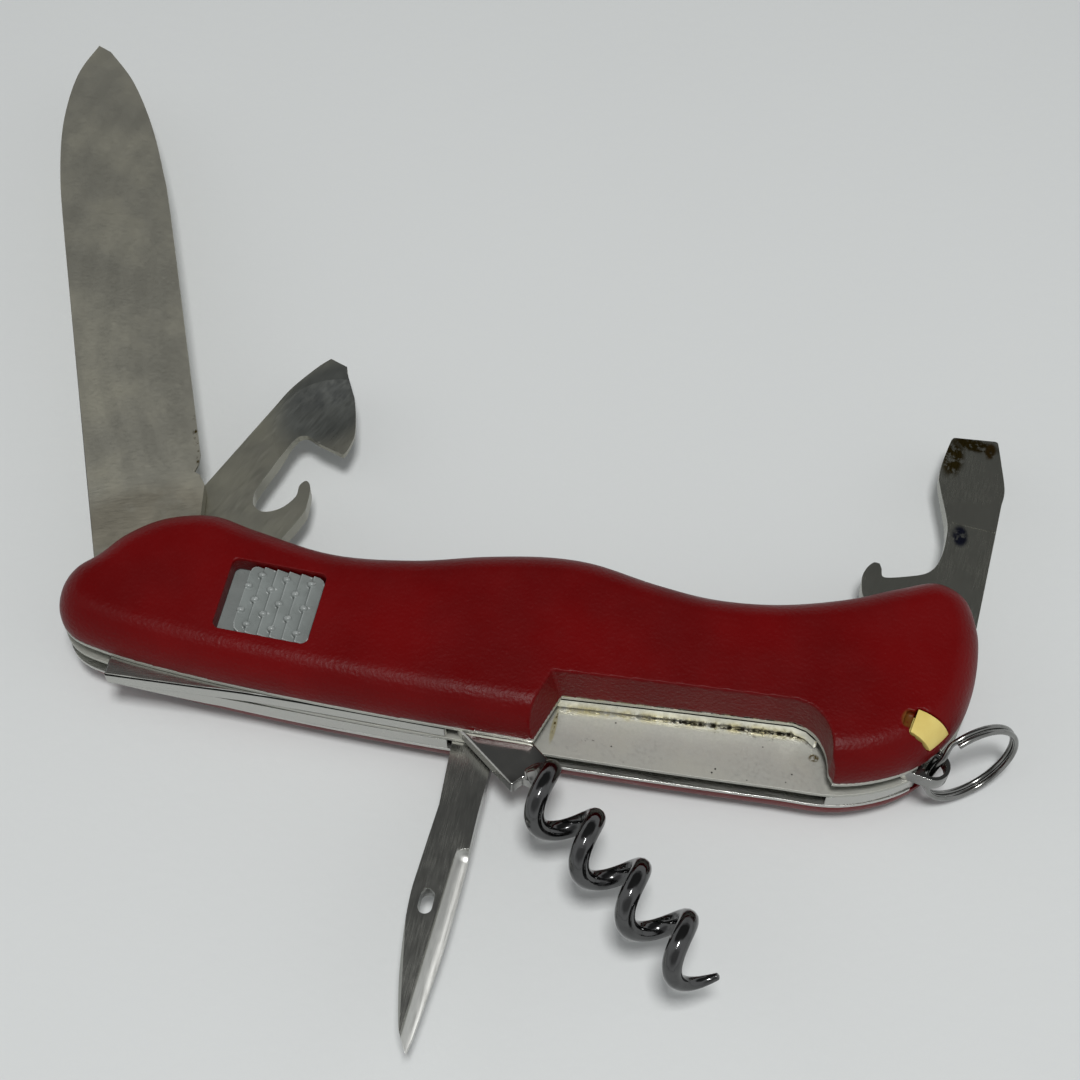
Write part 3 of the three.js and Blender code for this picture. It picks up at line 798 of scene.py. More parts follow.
@dataclass(frozen=True)
class GroundSteel(Finish):
    """Ground steel: fine lines one way, broad patches, a tint of age, its own marks, and painted
    shade on upright and slanted faces.
    """

    tint: Colour = (0.42, 0.42, 0.37)
    tinted: float = 0.35
    rough: float = 0.3
    grain: Grain = Grain.ALONG
    pivot: Point = (0, 0)
    turn: float = 0
    depth: float = 0.002
    line: float = 0.9
    # side and groove set painted shade: the colour's share on upright sides, and on slanted, eased
    # or hollowed faces
    side: float = 0.5
    groove: float = 0.8
    patch_size: float = 9
    wave_size: float = 3.5
    bare_colour: Colour = (0.66, 0.66, 0.63)
    bare_rough: float = 0.17
    marks: tuple[Mark, ...] = ()

    def wire_up(self) -> bpy.types.Material:
        """Makes the material.

        Returns:
            The material.
        """
        w = Wiring(self.name)
        w.set_on(self.pivot, self.turn)
        lines = w.noise(self.line * 3, detail=5, place=w.grained(self.grain.value), roughness=0.6)
        broad = w.noise(self.patch_size, detail=4, roughness=0.6)
        colour = w.mix(w.ramp(broad, 0.38, 0.66, 0, self.tinted), self.colour, self.tint)
        colour = w.mix(w.ramp(lines, 0.35, 0.65, 0, 0.18), colour, dimmed(self.colour, 0.6))
        colour = self.soil(w, colour)
        for mark in self.marks:
            colour = w.marked(colour, mark)
        colour = self.painted_facing_shade(w, colour)
        rough = w.sum(w.ramp(lines, 0.3, 0.7, self.rough - 0.04, self.rough + 0.06),
                      w.ramp(broad, 0.35, 0.7, -0.03, 0.05))
        bare = self.bared(w)
        if bare is not None:
            streaked = w.product(bare, w.ramp(lines, 0.3, 0.6, 0.75, 1))
            colour = w.mix(streaked, colour, self.bare_colour)
            rough = w.sum(rough, w.ramp(bare, 0, 1, 0, self.bare_rough, smoothed=False))
        w.link(colour, "Base Color")
        w.link(rough, "Roughness")
        w.set(Metallic=1.0)
        w.bump((lines, self.depth), (w.noise(self.wave_size), self.depth))
        return w.material

    def painted_facing_shade(self, w: Wiring, colour: Socket) -> Socket:
        """The colour darkened by painted shade on upright sides and on eased or hollowed faces.

        Args:
            w: The material's wiring.
            colour: The colour so far.

        Returns:
            The new colour.
        """
        normal = w.node("NewGeometry").outputs["Normal"]
        facing = w.size_of(w.node("SeparateXYZ", {0: normal}).outputs["Z"])
        # painted shade: upright sides take the side share of the colour, slanted faces the groove
        # share
        colour = w.mix(w.ramp(facing, 0.1, 0.6, 1, 0), colour, dimmed(self.colour, self.side))
        slanted_shade_share = w.product(w.ramp(facing, 0.12, 0.3), w.ramp(facing, 0.8, 0.97, 1, 0))
        return w.mix(slanted_shade_share, colour, dimmed(self.colour, self.groove))

    def soil(self, w: Wiring, colour: Socket) -> Socket:
        """The colour with whatever dirt a finish adds; plain steel has none."""
        return colour

    def bared(self, w: Wiring) -> Socket | None:
        """Where the steel is freshly ground and bright; nowhere on plain steel."""
        return None


@dataclass(frozen=True)
class FlutedSteel(GroundSteel):
    """Dark steel with a bright flute along one edge."""

    start: Point = (16.6, 2.4)
    lean: float = -2.7
    width: float = 1.35

    def bared(self, w: Wiring) -> Socket:
        """The flute's own strip.

        Args:
            w: The material's wiring.

        Returns:
            The share of bare steel.
        """
        axes = w.node("SeparateXYZ", {0: w.laid_out(self.start, self.lean)})
        across = w.size_of(axes.outputs["Y"])
        return w.product(w.ramp(across, (self.width - 0.1) * MM, (self.width + 0.05) * MM, 1, 0),
                         w.ramp(axes.outputs["X"], -1.2 * MM, 0))


@dataclass(frozen=True)
class BrushedBlade(GroundSteel):
    """Blade steel with the faint arcs that a grinding wheel leaves and darker, mottled clouds."""

    wheel: Point = (34, -62)
    arc_pitch: float = 0.62
    arc_patch: float = 12
    arc_shade: float = 0.5
    cloud_size: float = 24
    cloud_shade: float = 0.8

    def soil(self, w: Wiring, colour: Socket) -> Socket:
        """The colour with the wheel's arcs and clouds.

        Args:
            w: The material's wiring.
            colour: The colour so far.

        Returns:
            The soiled colour.
        """
        wave = {"Vector": w.laid_out(self.wheel), "Scale": 0.05 / (self.arc_pitch * MM),
                "Distortion": 2.5, "Detail": 3.0, "Detail Scale": 1.5}
        arcs = w.node("TexWave", wave, wave_type="RINGS", rings_direction="Z").outputs["Fac"]
        patchy = w.ramp(w.noise(self.arc_patch, detail=4), 0.3, 0.68, 0.06, 0.3)
        colour = w.mix(w.product(w.ramp(arcs, 0.3, 0.8), patchy), colour,
                       dimmed(self.colour, self.arc_shade))
        cloud = w.ramp(w.noise(self.cloud_size), 0.34, 0.68, 0, 0.5)
        return w.mix(cloud, colour, dimmed(self.colour, self.cloud_shade))


@dataclass(frozen=True)
class SoiledLiner(GroundSteel):
    """A satin liner with cream dirt, a black seam and dark specks along the recess's wall.

    Its plan has X along that wall and Y away from it, into the handle.
    """

    dirt: Colour = (0.4, 0.36, 0.21)
    black: Colour = (0.012, 0.01, 0.006)
    length: float = 32
    dot_spacing: float = 1.3

    def soil(self, w: Wiring, colour: Socket) -> Socket:
        """The colour with the dirt along the wall.

        Args:
            w: The material's wiring.
            colour: The colour so far.

        Returns:
            The soiled colour.
        """
        axes = w.node("SeparateXYZ", {0: w.place})
        along, into = axes.outputs["X"], axes.outputs["Y"]
        inside = w.product(w.ramp(along, -2.0 * MM, 0),
                           w.ramp(along, self.length * MM, (self.length + 2) * MM, 1, 0))
        band = w.product(w.ramp(into, -1.1 * MM, -0.15 * MM),
                         w.ramp(into, 0.5 * MM, 0.8 * MM, 1, 0), inside,
                         w.ramp(w.noise(1.4, detail=6, roughness=0.75), 0.34, 0.6))
        colour = w.mix(band, colour, self.dirt)
        seam = w.product(w.ramp(into, -0.42 * MM, -0.2 * MM),
                         w.ramp(into, 0.1 * MM, 0.2 * MM, 1, 0), inside,
                         w.ramp(along, 6 * MM, 13 * MM, 0.25, 1),
                         w.ramp(w.noise(0.9, detail=6, roughness=0.8), 0.44, 0.52))
        colour = w.mix(seam, colour, self.black)
        fringe = w.product(w.ramp(into, -1.5 * MM, -0.2 * MM), inside,
                           w.ramp(along, 14 * MM, 19 * MM),
                           w.ramp(w.noise(0.7, detail=6, roughness=0.85), 0.55, 0.6))
        colour = w.mix(fringe, colour, self.black)
        dots = w.node("TexVoronoi", {"Vector": w.place, "Scale": 1 / (self.dot_spacing * MM)})
        dot = w.product(w.ramp(dots.outputs["Distance"], 0.07, 0.11, 1, 0), inside,
                        w.ramp(w.noise(3.0, detail=2), 0.52, 0.58))
        return w.mix(dot, colour, self.black)


@dataclass(frozen=True)
class Plated(Finish):
    """A polished plating with faint drawing marks."""

    rough: float = 0.12
    worn: Colour = (0.2, 0.2, 0.2)
    pivot: Point = (0, 0)
    turn: float = 0
    marks: tuple[Mark, ...] = ()

    def wire_up(self) -> bpy.types.Material:
        """Makes the material.

        Returns:
            The material.
        """
        w = Wiring(self.name)
        w.set_on(self.pivot, self.turn)
        patches = w.noise(3.2, detail=5, roughness=0.6)
        colour = w.mix(w.ramp(patches, 0.45, 0.7, 0, 0.5), self.colour, self.worn)
        for mark in self.marks:
            colour = w.marked(colour, mark)
        w.link(colour, "Base Color")
        w.link(w.ramp(patches, 0.3, 0.75, self.rough - 0.03, self.rough + 0.1), "Roughness")
        w.set(Metallic=1.0)
        w.bump((w.noise(0.5, detail=4), 0.0015), (w.noise(2.4), 0.006))
        return w.material


@dataclass(frozen=True)
class MouldedPlastic(Finish):
    """A small plastic moulding with a slight mottle; where worn is given, a partly rubbed, partly
    painted highlight on its crests and painted shade in its hollows.
    """

    shade: Colour = (0.4, 0.4, 0.4)
    rough: float = 0.45
    grain: float = 0.006
    # worn: the colour of the crests, partly rubbed wear and partly painted highlight
    worn: Colour | None = None

    def wire_up(self) -> bpy.types.Material:
        """Makes the material.

        Returns:
            The material.
        """
        w = Wiring(self.name)
        patches = w.noise(2.6, detail=4)
        colour = w.mix(w.ramp(patches, 0.35, 0.7), self.colour, self.shade)
        if self.worn is not None:
            # lighter on convex crests (partly wear, partly painted highlight), darker in hollows
            # (painted shade), by the mesh's pointiness
            bend = w.node("NewGeometry").outputs["Pointiness"]
            colour = w.mix(w.ramp(bend, 0.515, 0.57, 0, 0.8), colour, self.worn)
            colour = w.mix(w.ramp(bend, 0.485, 0.44, 0, 0.7), colour, dimmed(self.shade, 0.3))
        w.link(colour, "Base Color")
        uneven = w.noise(1.1, detail=4)
        w.link(w.ramp(uneven, 0.3, 0.7, self.rough - 0.06, self.rough + 0.08), "Roughness")
        w.set(Specular_IOR_Level=0.4)
        w.bump((w.noise(0.35), self.grain))
        return w.material


OLIVE = (0.1, 0.07, 0.018)
CREAM = (0.4, 0.37, 0.24)
SOOT = (0.012, 0.01, 0.008)
RECESS_EDGE = {"pivot": (7.3, -5.35), "turn": 4.54}


@dataclass(frozen=True)
class Finishes:
    """Every finish of the object."""

    nylon: MouldedNylon = MouldedNylon(
        "red_nylon_moulding", "red_nylon", (0.112, 0.0014, 0.0018),
        marks=(Mark((47.75, -2.3), (0.9, 1.3), (0.13, 0.045, 0.008), lean=-11, grain=0.7,
                    cover=(0.3, 0.45)),))
    bright: GroundSteel = GroundSteel(
        "bright_liner_steel", "spring_steel", (0.6, 0.6, 0.57), rough=0.26, side=0.85)
    liner: SoiledLiner = SoiledLiner(
        "soiled_liner_steel", "spring_steel", (0.5, 0.5, 0.455), tint=(0.44, 0.43, 0.36),
        tinted=0.4, rough=0.5, grain=Grain.NONE, side=0.9, **RECESS_EDGE,
        marks=(Mark((-0.6, -2.7), (2.5, 0.4), CREAM, lean=85, grain=0.8, cover=(0.3, 0.5)),
               Mark((-0.5, -2.0), (1.6, 0.16), OLIVE, lean=82, grain=0.5, cover=(0.45, 0.55)),
               Mark((30.7, -2.7), (0.75, 0.6), OLIVE, grain=0.5, cover=(0.42, 0.5)),
               Mark((3.5, -3.85), (1.3, 0.25), SOOT, grain=0.25, cover=(0.56, 0.6))))
    # painted shade: side=0.95 and groove=0.03 paint the spring's eased edges nearly black
    spring: GroundSteel = GroundSteel(
        "back_spring_steel", "spring_steel", (0.5, 0.5, 0.47), rough=0.2, side=0.95, groove=0.03,
        **RECESS_EDGE,
        marks=(Mark((15, 0.1), (18, 1.0), CREAM, grain=1.6, cover=(0.3, 0.5)),
               Mark((20, 0), (8, 0.9), SOOT, grain=0.6, cover=(0.5, 0.56))))
    blade: BrushedBlade = BrushedBlade(
        "brushed_blade_steel", "blade_steel", (0.66, 0.64, 0.54), tint=(0.55, 0.525, 0.41),
        tinted=0.7, rough=0.42, grain=Grain.ACROSS, pivot=(-45.8, -1.8), turn=113, line=0.5,
        marks=(Mark((10.5, -1), (6.5, 12), (0.5, 0.465, 0.37), grain=5, cover=(0.2, 0.5)),
               Mark((21, -8.3), (6, 0.5), OLIVE, grain=1.0, cover=(0.5, 0.62))))
    can: GroundSteel = GroundSteel(
        "can_opener_steel", "tool_steel", (0.6, 0.585, 0.49), tint=(0.42, 0.41, 0.31), tinted=0.5,
        rough=0.34, pivot=(-45.8, -1.8), turn=68.4,
        marks=(Mark((37.5, 0.2), (10.2, 7.0), (0.27, 0.28, 0.26), lean=-12, grain=3,
                    cover=(0.0, 0.2)),
               Mark((38.0, 1.2), (6.0, 2.4), (0.21, 0.22, 0.21), lean=-35, grain=2,
                    cover=(0.3, 0.6))))
    bottle: GroundSteel = GroundSteel(
        "bottle_opener_steel", "tool_steel", (0.55, 0.55, 0.48), tint=(0.42, 0.42, 0.36),
        tinted=0.5, rough=0.22, pivot=(49.4, 9.8), turn=85.3,
        marks=(Mark((34.6, -0.4), (1.3, 3.8), OLIVE, grain=1.1, cover=(0.4, 0.5)),
               Mark((31.6, 1.9), (3.6, 1.7), OLIVE, grain=1.0, cover=(0.4, 0.5)),
               Mark((34.2, -2.6), (1.6, 0.8), (0.16, 0.1, 0.03), grain=0.8, cover=(0.4, 0.5)),
               Mark((19.8, -1.1), (1.9, 1.2), (0.045, 0.05, 0.09), lean=10, grain=1.4,
                    cover=(0.36, 0.5)),
               Mark((19.1, 0.2), (1.6, 0.16), (0.8, 0.8, 0.78), lean=10, grain=0.4,
                    cover=(0.5, 0.56))))
    reamer: FlutedSteel = FlutedSteel(
        "reamer_steel", "tool_steel", (0.4, 0.4, 0.37), tint=(0.34, 0.34, 0.3), tinted=0.35,
        rough=0.22, pivot=(-2.1, -9.6), turn=-90, depth=0.0008)
    chrome: Plated = Plated(
        "smoky_chrome_plating", "dark_chrome", (0.11, 0.11, 0.11), rough=0.09,
        worn=(0.055, 0.055, 0.055), pivot=(-2.1, -9.6), turn=-38.2,
        marks=(Mark((4, 0), (7.6, 5.5), (0.5, 0.49, 0.46), grain=4, cover=(0.05, 0.2)),))
    nickel: Plated = Plated(
        "nickel_plating", "nickel", (0.26, 0.26, 0.25), rough=0.14, worn=(0.12, 0.12, 0.11))
    brass: Plated = Plated(
        "turned_brass", "brass", (0.5, 0.33, 0.12), rough=0.25, worn=(0.35, 0.22, 0.08))
    # worn gives the button's ribs and nubs a partly painted highlight and its grooves painted
    # shade
    grey: MouldedPlastic = MouldedPlastic(
        "grey_moulding", "grey_plastic", (0.2, 0.218, 0.21), shade=(0.172, 0.188, 0.18), rough=0.3,
        worn=(0.42, 0.44, 0.43))
    ivory: MouldedPlastic = MouldedPlastic(
        "ivory_moulding", "ivory_plastic", (0.66, 0.53, 0.16), shade=(0.6, 0.46, 0.125), rough=0.4)


FINISHES = Finishes()


# ---------------------------------------------------------------- the frame's places


def heights(node: str) -> tuple[float, float]:
    """The lowest and highest level of a CAD node, in millimetres."""
    low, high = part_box(node)
    return low.z / MM, high.z / MM


def footprint(node: str) -> tuple[Point, float, float]:
    """A CAD node's middle, length and width in the plan, in millimetres.

    Args:
        node: The CAD node's name.

    Returns:
        The middle, the length along X and the width along Y.
    """
    low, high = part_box(node)
    middle = ((low.x + high.x) / 2 / MM, (low.y + high.y) / 2 / MM)
    return middle, (high.x - low.x) / MM, (high.y - low.y) / MM


def held(value: float, low: float = 0, high: float = 1) -> float:
    """A value held between two ends."""
    return min(max(value, low), high)


def pivot_of(joint: str) -> Point:
    """Where a joint's axis stands in the plan, in millimetres."""
    place = next(j["pos_m"] for j in frame["joints"] if j["name"] == joint)
    return place[0] / MM, place[1] / MM


# ---------------------------------------------------------------- handle


class Rivet(Enum):
    """The handle's rivets, each with the radius of its hole in the liners."""

    BLADE_END = ("blade_end_rivet", 1.6, True)
    OPENER_END = ("opener_end_rivet", 1.6, True)
    MIDDLE = ("middle_rivet", 1.6, False)
    BACK_TOOL = ("back_tool_rivet", 1.6, False)
    SHACKLE = ("shackle_rivet", 1.2, False)

    def __init__(self, node: str, hole: float, bushed: bool) -> None:
        """Keeps the rivet's node, hole and whether it carries bushings.

        Args:
            node: The CAD node's name.
            hole: The radius of its hole in a liner, in millimetres.
            bushed: Whether it carries a bushing under each head.
        """
        self.node = node
        self.hole = hole
        self.bushed = bushed


@dataclass
class Handle:
    """The two moulded scales, three liners and two back springs."""

    length: float = 111
    knots: tuple[Point, ...] = (
        (-0.5, -4.4), (-0.4925, -1.6), (-0.473, 0.9), (-0.452, 4.2), (-0.415, 7.5), (-0.36, 9.3),
        (-0.306, 8.35), (-0.216, 7), (-0.126, 8.25), (-0.05, 10.6), (0.02, 12.15), (0.07, 12.35),
        (0.144, 11.05), (0.207, 10.5), (0.275, 11.35), (0.35, 13.9), (0.4, 16.5), (0.445, 18.35),
        (0.479, 16.8), (0.496, 12.8), (0.5, 9.6), (0.498, 4.5), (0.4875, 0), (0.466, -4),
        (0.437, -6.9), (0.38, -9.65), (0.3, -10.35), (0.12, -11.45), (-0.072, -12.15),
        (-0.216, -12.25), (-0.342, -11.85), (-0.432, -10.95), (-0.475, -9.75), (-0.4945, -7.5))
    steps: int = 7
    rim_inset: float = 4
    rim_height: float = 5.2
    rear_setback: float = 0.45
    rim_rings: int = 10
    voxel: float = 0.2
    kept: float = 0.48
    recess_start: Point = (7.3, -5.35)
    recess_end: Point = (35, -3.15)
    recess_right: float = 39.9
    recess_draft: float = 0.65
    recess_end_draft: float = 1.4
    window: Point = (-29.1, -2.65)
    window_length: float = 11.8
    window_width: float = 9.6
    window_corner: float = 0.8
    pocket: tuple[float, float, float, float] = (-42.2, -8.9, -20.4, 3.6)
    pocket_roof: float = 15.0
    pick_mouth: Point = (48.5, -2.43)
    pick_angle: float = -11
    pick_slot: float = 3.3
    pick_floor: float = 14.1
    tweezers_mouth: Point = (50.1, 4.2)
    tweezers_slot: float = 3.8
    tweezers_levels: tuple[float, float] = (1.2, 4.6)
    leaf_slot: tuple[float, float] = (41, 3.4)
    eye_relief: float = 2.1
    head_clearance: float = 0.3
    bushing_clearance: float = 0.7
    slot_reach: tuple[float, float] = (-0.2, 12)
    bore_reach: tuple[float, float] = (-47, 0)
    bore_width: float = 2.6
    notch_reach: tuple[float, float] = (-1.15, 0.1)
    notch_width: float = 2.1
    liner_edge: float = 0.08
    spring_edge: float = 0.3

    def edge(self, setback: float = 0) -> list[Point]:
        """The handle's outline, with its back edge set in by a distance at the blade's end.

        Args:
            setback: That distance, in millimetres.

        Returns:
            The outline.
        """
        points = closed_curve([(share * self.length, y) for share, y in self.knots], self.steps)
        full = -8  # the setback is whole from this far towards the back
        return [(x, y + setback * held(0.5 - x / self.length) * held(y / full)) for x, y in points]

    def blank(self, name: str, node: str, side: int) -> Body:
        """A scale's solid with its outer rim rounded.

        Args:
            name: The object's name.
            node: The CAD node whose heights it takes.
            side: 1 where its outer face is up, -1 where it is down.

        Returns:
            The new object.
        """
        low, high = heights(node)
        inner, outer = (low, high) if side > 0 else (high, low)
        body = sheet_of(name, self.edge(0 if side > 0 else self.rear_setback), inner)
        wall = abs(outer - inner) - self.rim_height
        with editing(body):
            bpy.ops.mesh.select_all(action="SELECT")
            extrude(side * wall)
            face_outwards()
            level = (inner + side * wall) * MM
            pick_faces(body, lambda middle, normal: abs(middle.z - level) < 10 * ON_PLANE)
            turns = [math.pi / 2 * k / self.rim_rings for k in range(self.rim_rings + 1)]
            round_off(self.rim_inset, self.rim_height, turns)
            face_outwards()
        return body

    def recess_outline(self, grown: bool) -> list[Point]:
        """The recess's plan, at its floor or at the scale's face, where it is larger.

        Args:
            grown: Whether it is the larger plan at the face.

        Returns:
            The outline.
        """
        (x0, y0), (x1, y1) = self.recess_start, self.recess_end
        right = self.recess_right
        runs = ([(x0 - 5.3, -20), (x0 - 2.1, -11.75)], [(x0, y0), (20, -4.3), (x1, y1)],
                [(right - 3.3, -3.5), (right - 1.9, -4.5), (right - 0.6, -6.45), (right, -8.9)],
                [(right + 0.6, -9.7), (right + 1, -20)])
        points = outline(*runs)
        if not grown:
            return points
        run = right - x0
        return [(x - self.recess_end_draft * (1 - held((x - x0) / run)), y + self.recess_draft)
                for x, y in points]

    def recess_cutter(self, low: float, high: float) -> Body:
        """The recess as a solid that opens out upwards.

        Args:
            low: Where it starts, in millimetres.
            high: Where it ends, in millimetres.

        Returns:
            The cutter.
        """
        foot, grown = self.recess_outline(False), self.recess_outline(True)
        body = plate("recess_cutter", foot, low, high)
        for vertex in body.data.vertices:
            if vertex.co.z > (low + high) / 2 * MM:
                place = (vertex.co.x / MM, vertex.co.y / MM)
                nearest = min(range(len(grown)), key=lambda i: math.dist(place, foot[i]))
                vertex.co.x, vertex.co.y = (v * MM for v in grown[nearest])
        return body

    def pick_block(self, name: str, start: float, end: float, width: float, low: float,
                   high: float) -> Body:
        """A block that lies in the toothpick's own line.

        Args:
            name: The object's name.
            start: Where it starts along that line, from the slot's mouth.
            end: Where it ends.
            width: Its width, in millimetres.
            low: Its lower level, in millimetres.
            high: Its upper level, in millimetres.

        Returns:
            The new object.
        """
        x, y = self.pick_mouth
        middle = Vector((x + (start + end) / 2, y, (low + high) / 2))
        size = Vector((end - start, width, high - low))
        return block(name, middle, size, {"Z": self.pick_angle}, Vector((x, y, 0)))

    def front_scale(self) -> Body:
        """The front scale, with the recess, the lock's window and the toothpick's slot.

        Returns:
            The piece.
        """
        low, high = heights("front_scale")
        body = self.blank("front_scale_moulding", "front_scale", 1)
        x0, y0, x1, y1 = self.pocket
        floor, top = self.pick_floor, high + OVERCUT
        middle = Vector(((x0 + x1) / 2, (y0 + y1) / 2, (low + self.pocket_roof) / 2 - OVERCUT / 2))
        pocket = Vector((x1 - x0, y1 - y0, self.pocket_roof - low + OVERCUT))
        window = rounded(self.window, self.window_length, self.window_width, self.window_corner)
        cutters = [
            self.recess_cutter(low - 0.01, high + 0.5),
            block("pocket_cutter", middle, pocket),
            plate("window_cutter", window, self.pocket_roof - OVERCUT, top),
            self.pick_block("slot_cutter", *self.slot_reach, self.pick_slot, floor, top),
            self.pick_block(
                "bore_cutter", *self.bore_reach, self.bore_width, floor + 0.3, floor + 2
            ),
            self.pick_block("notch_cutter", *self.notch_reach, self.notch_width, high - 1.0, top),
            *self.rivet_pockets(low - OVERCUT, 1),
        ]
        combine(body, cutters)
        self.soften(body)
        return place_piece(body, "front_scale", "handle", FINISHES.nylon)

    def rivet_pockets(self, base: float, side: int) -> list[Body]:
        """Cutters for the rivet heads and bushings, from a level inside the liners' stack.

        Args:
            base: The level that they start from, in millimetres.
            side: 1 where they go up, -1 where they go down.

        Returns:
            The cutters.
        """
        pockets = []
        for rivet in Rivet:
            low, high = heights(rivet.node)
            middle, across, _ = footprint(rivet.node)
            radius = across / 2 + (self.bushing_clearance if rivet.bushed else self.head_clearance)
            reach = (high if side > 0 else low) + side * self.head_clearance
            pockets.append(rod("rivet_cutter", middle, radius, min(base, reach), max(base, reach)))
        return pockets

    def soften(self, body: Body) -> None:
        """Gives a cut scale the soft edges of a moulding.

        Args:
            body: The scale.
        """
        apply(body, "REMESH", mode="VOXEL", voxel_size=self.voxel * MM, use_smooth_shade=True)
        apply(body, "SMOOTH", factor=0.5, iterations=1)
        apply(body, "DECIMATE", ratio=self.kept)

    def rear_scale(self) -> Body:
        """The rear scale, with the tweezers' slot.

        Returns:
            The piece.
        """
        high = heights("rear_scale")[1]
        body = self.blank("rear_scale_moulding", "rear_scale", -1)
        x, y = self.tweezers_mouth
        low_slot, high_slot = self.tweezers_levels
        middle, depth = (low_slot + high_slot) / 2, high_slot - low_slot
        length, width = self.leaf_slot
        cutters = [
            block("head_cutter", Vector((x + 5.8, y, middle)),
                  Vector((12, self.tweezers_slot, depth))),
            block("leaf_cutter", Vector((x - 20.4, y, middle)), Vector((length, width, depth))),
            *self.rivet_pockets(high + OVERCUT, -1),
        ]
        combine(body, cutters)
        self.soften(body)
        return place_piece(body, "rear_scale", "handle", FINISHES.nylon)

    def liner(self, node: str, finish: Finish, recessed: bool = False) -> Body:
        """A thin steel liner, with its rivet holes and its relief round the shackle's eye.

        Args:
            node: The CAD node's name.
            finish: The finish that it gets.
            recessed: Whether the worm's recess is cut out of it.

        Returns:
            The piece.
        """
        low, high = heights(node)
        body = plate(node + "_plate", self.edge(), low, high)
        below, above = low - OVERCUT, high + OVERCUT
        cutters = [rod("eye_cutter", pivot_of("ring_swing"), self.eye_relief, below, above)]
        for rivet in Rivet:
            middle = footprint(rivet.node)[0]
            cutters.append(rod("hole_cutter", middle, rivet.hole, below, above, sides=32))
        if recessed:
            cutters.append(plate("recess_cutter", self.recess_outline(False), below, above))
        combine(body, cutters)
        ease_edges(body, self.liner_edge)
        return place_piece(body, node, "handle", finish)

    def spring(self, node: str) -> Body:
        """A back spring, with its edges eased.

        Args:
            node: The CAD node's name.

        Returns:
            The piece.
        """
        body = traced(node, node + "_bar")
        ease_edges(body, self.spring_edge, segments=3, angle=30)
        return place_piece(body, node, "handle", FINISHES.spring)

    def build(self) -> list[Body]:
        """Builds and dresses every piece of the handle.

        Returns:
            The pieces.
        """
        return [
            self.front_scale(),
            self.rear_scale(),
            self.liner("front_liner", FINISHES.liner, recessed=True),
            self.liner("centre_liner", FINISHES.liner),
            self.liner("rear_liner", FINISHES.bright),
            self.spring("blade_spring"),
            self.spring("opener_spring"),
        ]


# ---------------------------------------------------------------- folding tools


@dataclass
class FoldingTool:
    """A tool that turns on a rivet: its node, joint, rest angle and pin hole."""

    node: str
    joint: str
    angle: float
    hole: float = 1.6

    def plan(self, points: Run) -> list[Point]:
        """Points of the tool's own plan, set on its pivot."""
        return moved(points, pivot_of(self.joint), self.angle)

    def at_home(self, body: Body, motion: Matrix | None = None) -> Body:
        """Moves a shape within the tool's own plan and sets it on the tool's pivot.

        Args:
            body: The shape, in the tool's own plan.
            motion: How it moves first, in metres; not at all where none is given.

        Returns:
            The same object.
        """
        pivot = Vector((*pivot_of(self.joint), 0)) * MM
        place = Matrix.Translation(pivot) @ Matrix.Rotation(math.radians(self.angle), 4, "Z")
        body.data.transform(place if motion is None else place @ motion)
        return body

    def tilted(self, name: str, centre: Vector, size: Vector, axis: str, angle: float,
               about: Vector) -> Body:
        """A block tilted in the tool's own plan and then set on the tool's pivot."""
        return self.at_home(block(name, centre, size, {axis: angle}, about))

    def dish_cutter(self, middle: Point, radius: float, face: float, depth: float,
                    rings: int = 8) -> Body:
        """A shallow round bowl that hollows a face.

        Args:
            middle: The bowl's middle in the tool's own plan.
            radius: Its radius at the face.
            face: The face's level.
            depth: How deep it goes; below zero it goes up, into the rear face.
            rings: How many rings make its curve.

        Returns:
            The cutter.
        """
        way = 1 if depth > 0 else -1
        depth = abs(depth)
        curve = (radius ** 2 + depth ** 2) / (2 * depth)
        sides = 64
        rim = arc(middle, radius, 0, 360 - 360 / sides, sides - 1)
        body = sheet_of("dish_cutter", rim, face + way)
        with editing(body):
            bpy.ops.mesh.select_all(action="SELECT")
            extrude(-way)
            face_outwards()
            pick_faces(body, lambda place, normal: abs(place.z - face * MM) < ON_PLANE)
            reaches = [radius * (1 - k / rings) for k in range(rings)]
            sinks = [math.sqrt(curve ** 2 - r ** 2) - (curve - depth) for r in reaches]
            for k in range(rings - 1):
                bpy.ops.mesh.inset(thickness=(reaches[k] - reaches[k + 1]) * MM,
                                   depth=(sinks[k + 1] - sinks[k]) * MM)
            face_outwards()
        return self.at_home(body)

    def pin_cutter(self) -> Body:
        """The hole that the tool turns on."""
        low, high = heights(self.node)
        return rod("pin_cutter", pivot_of(self.joint), self.hole, low - OVERCUT, high + OVERCUT)


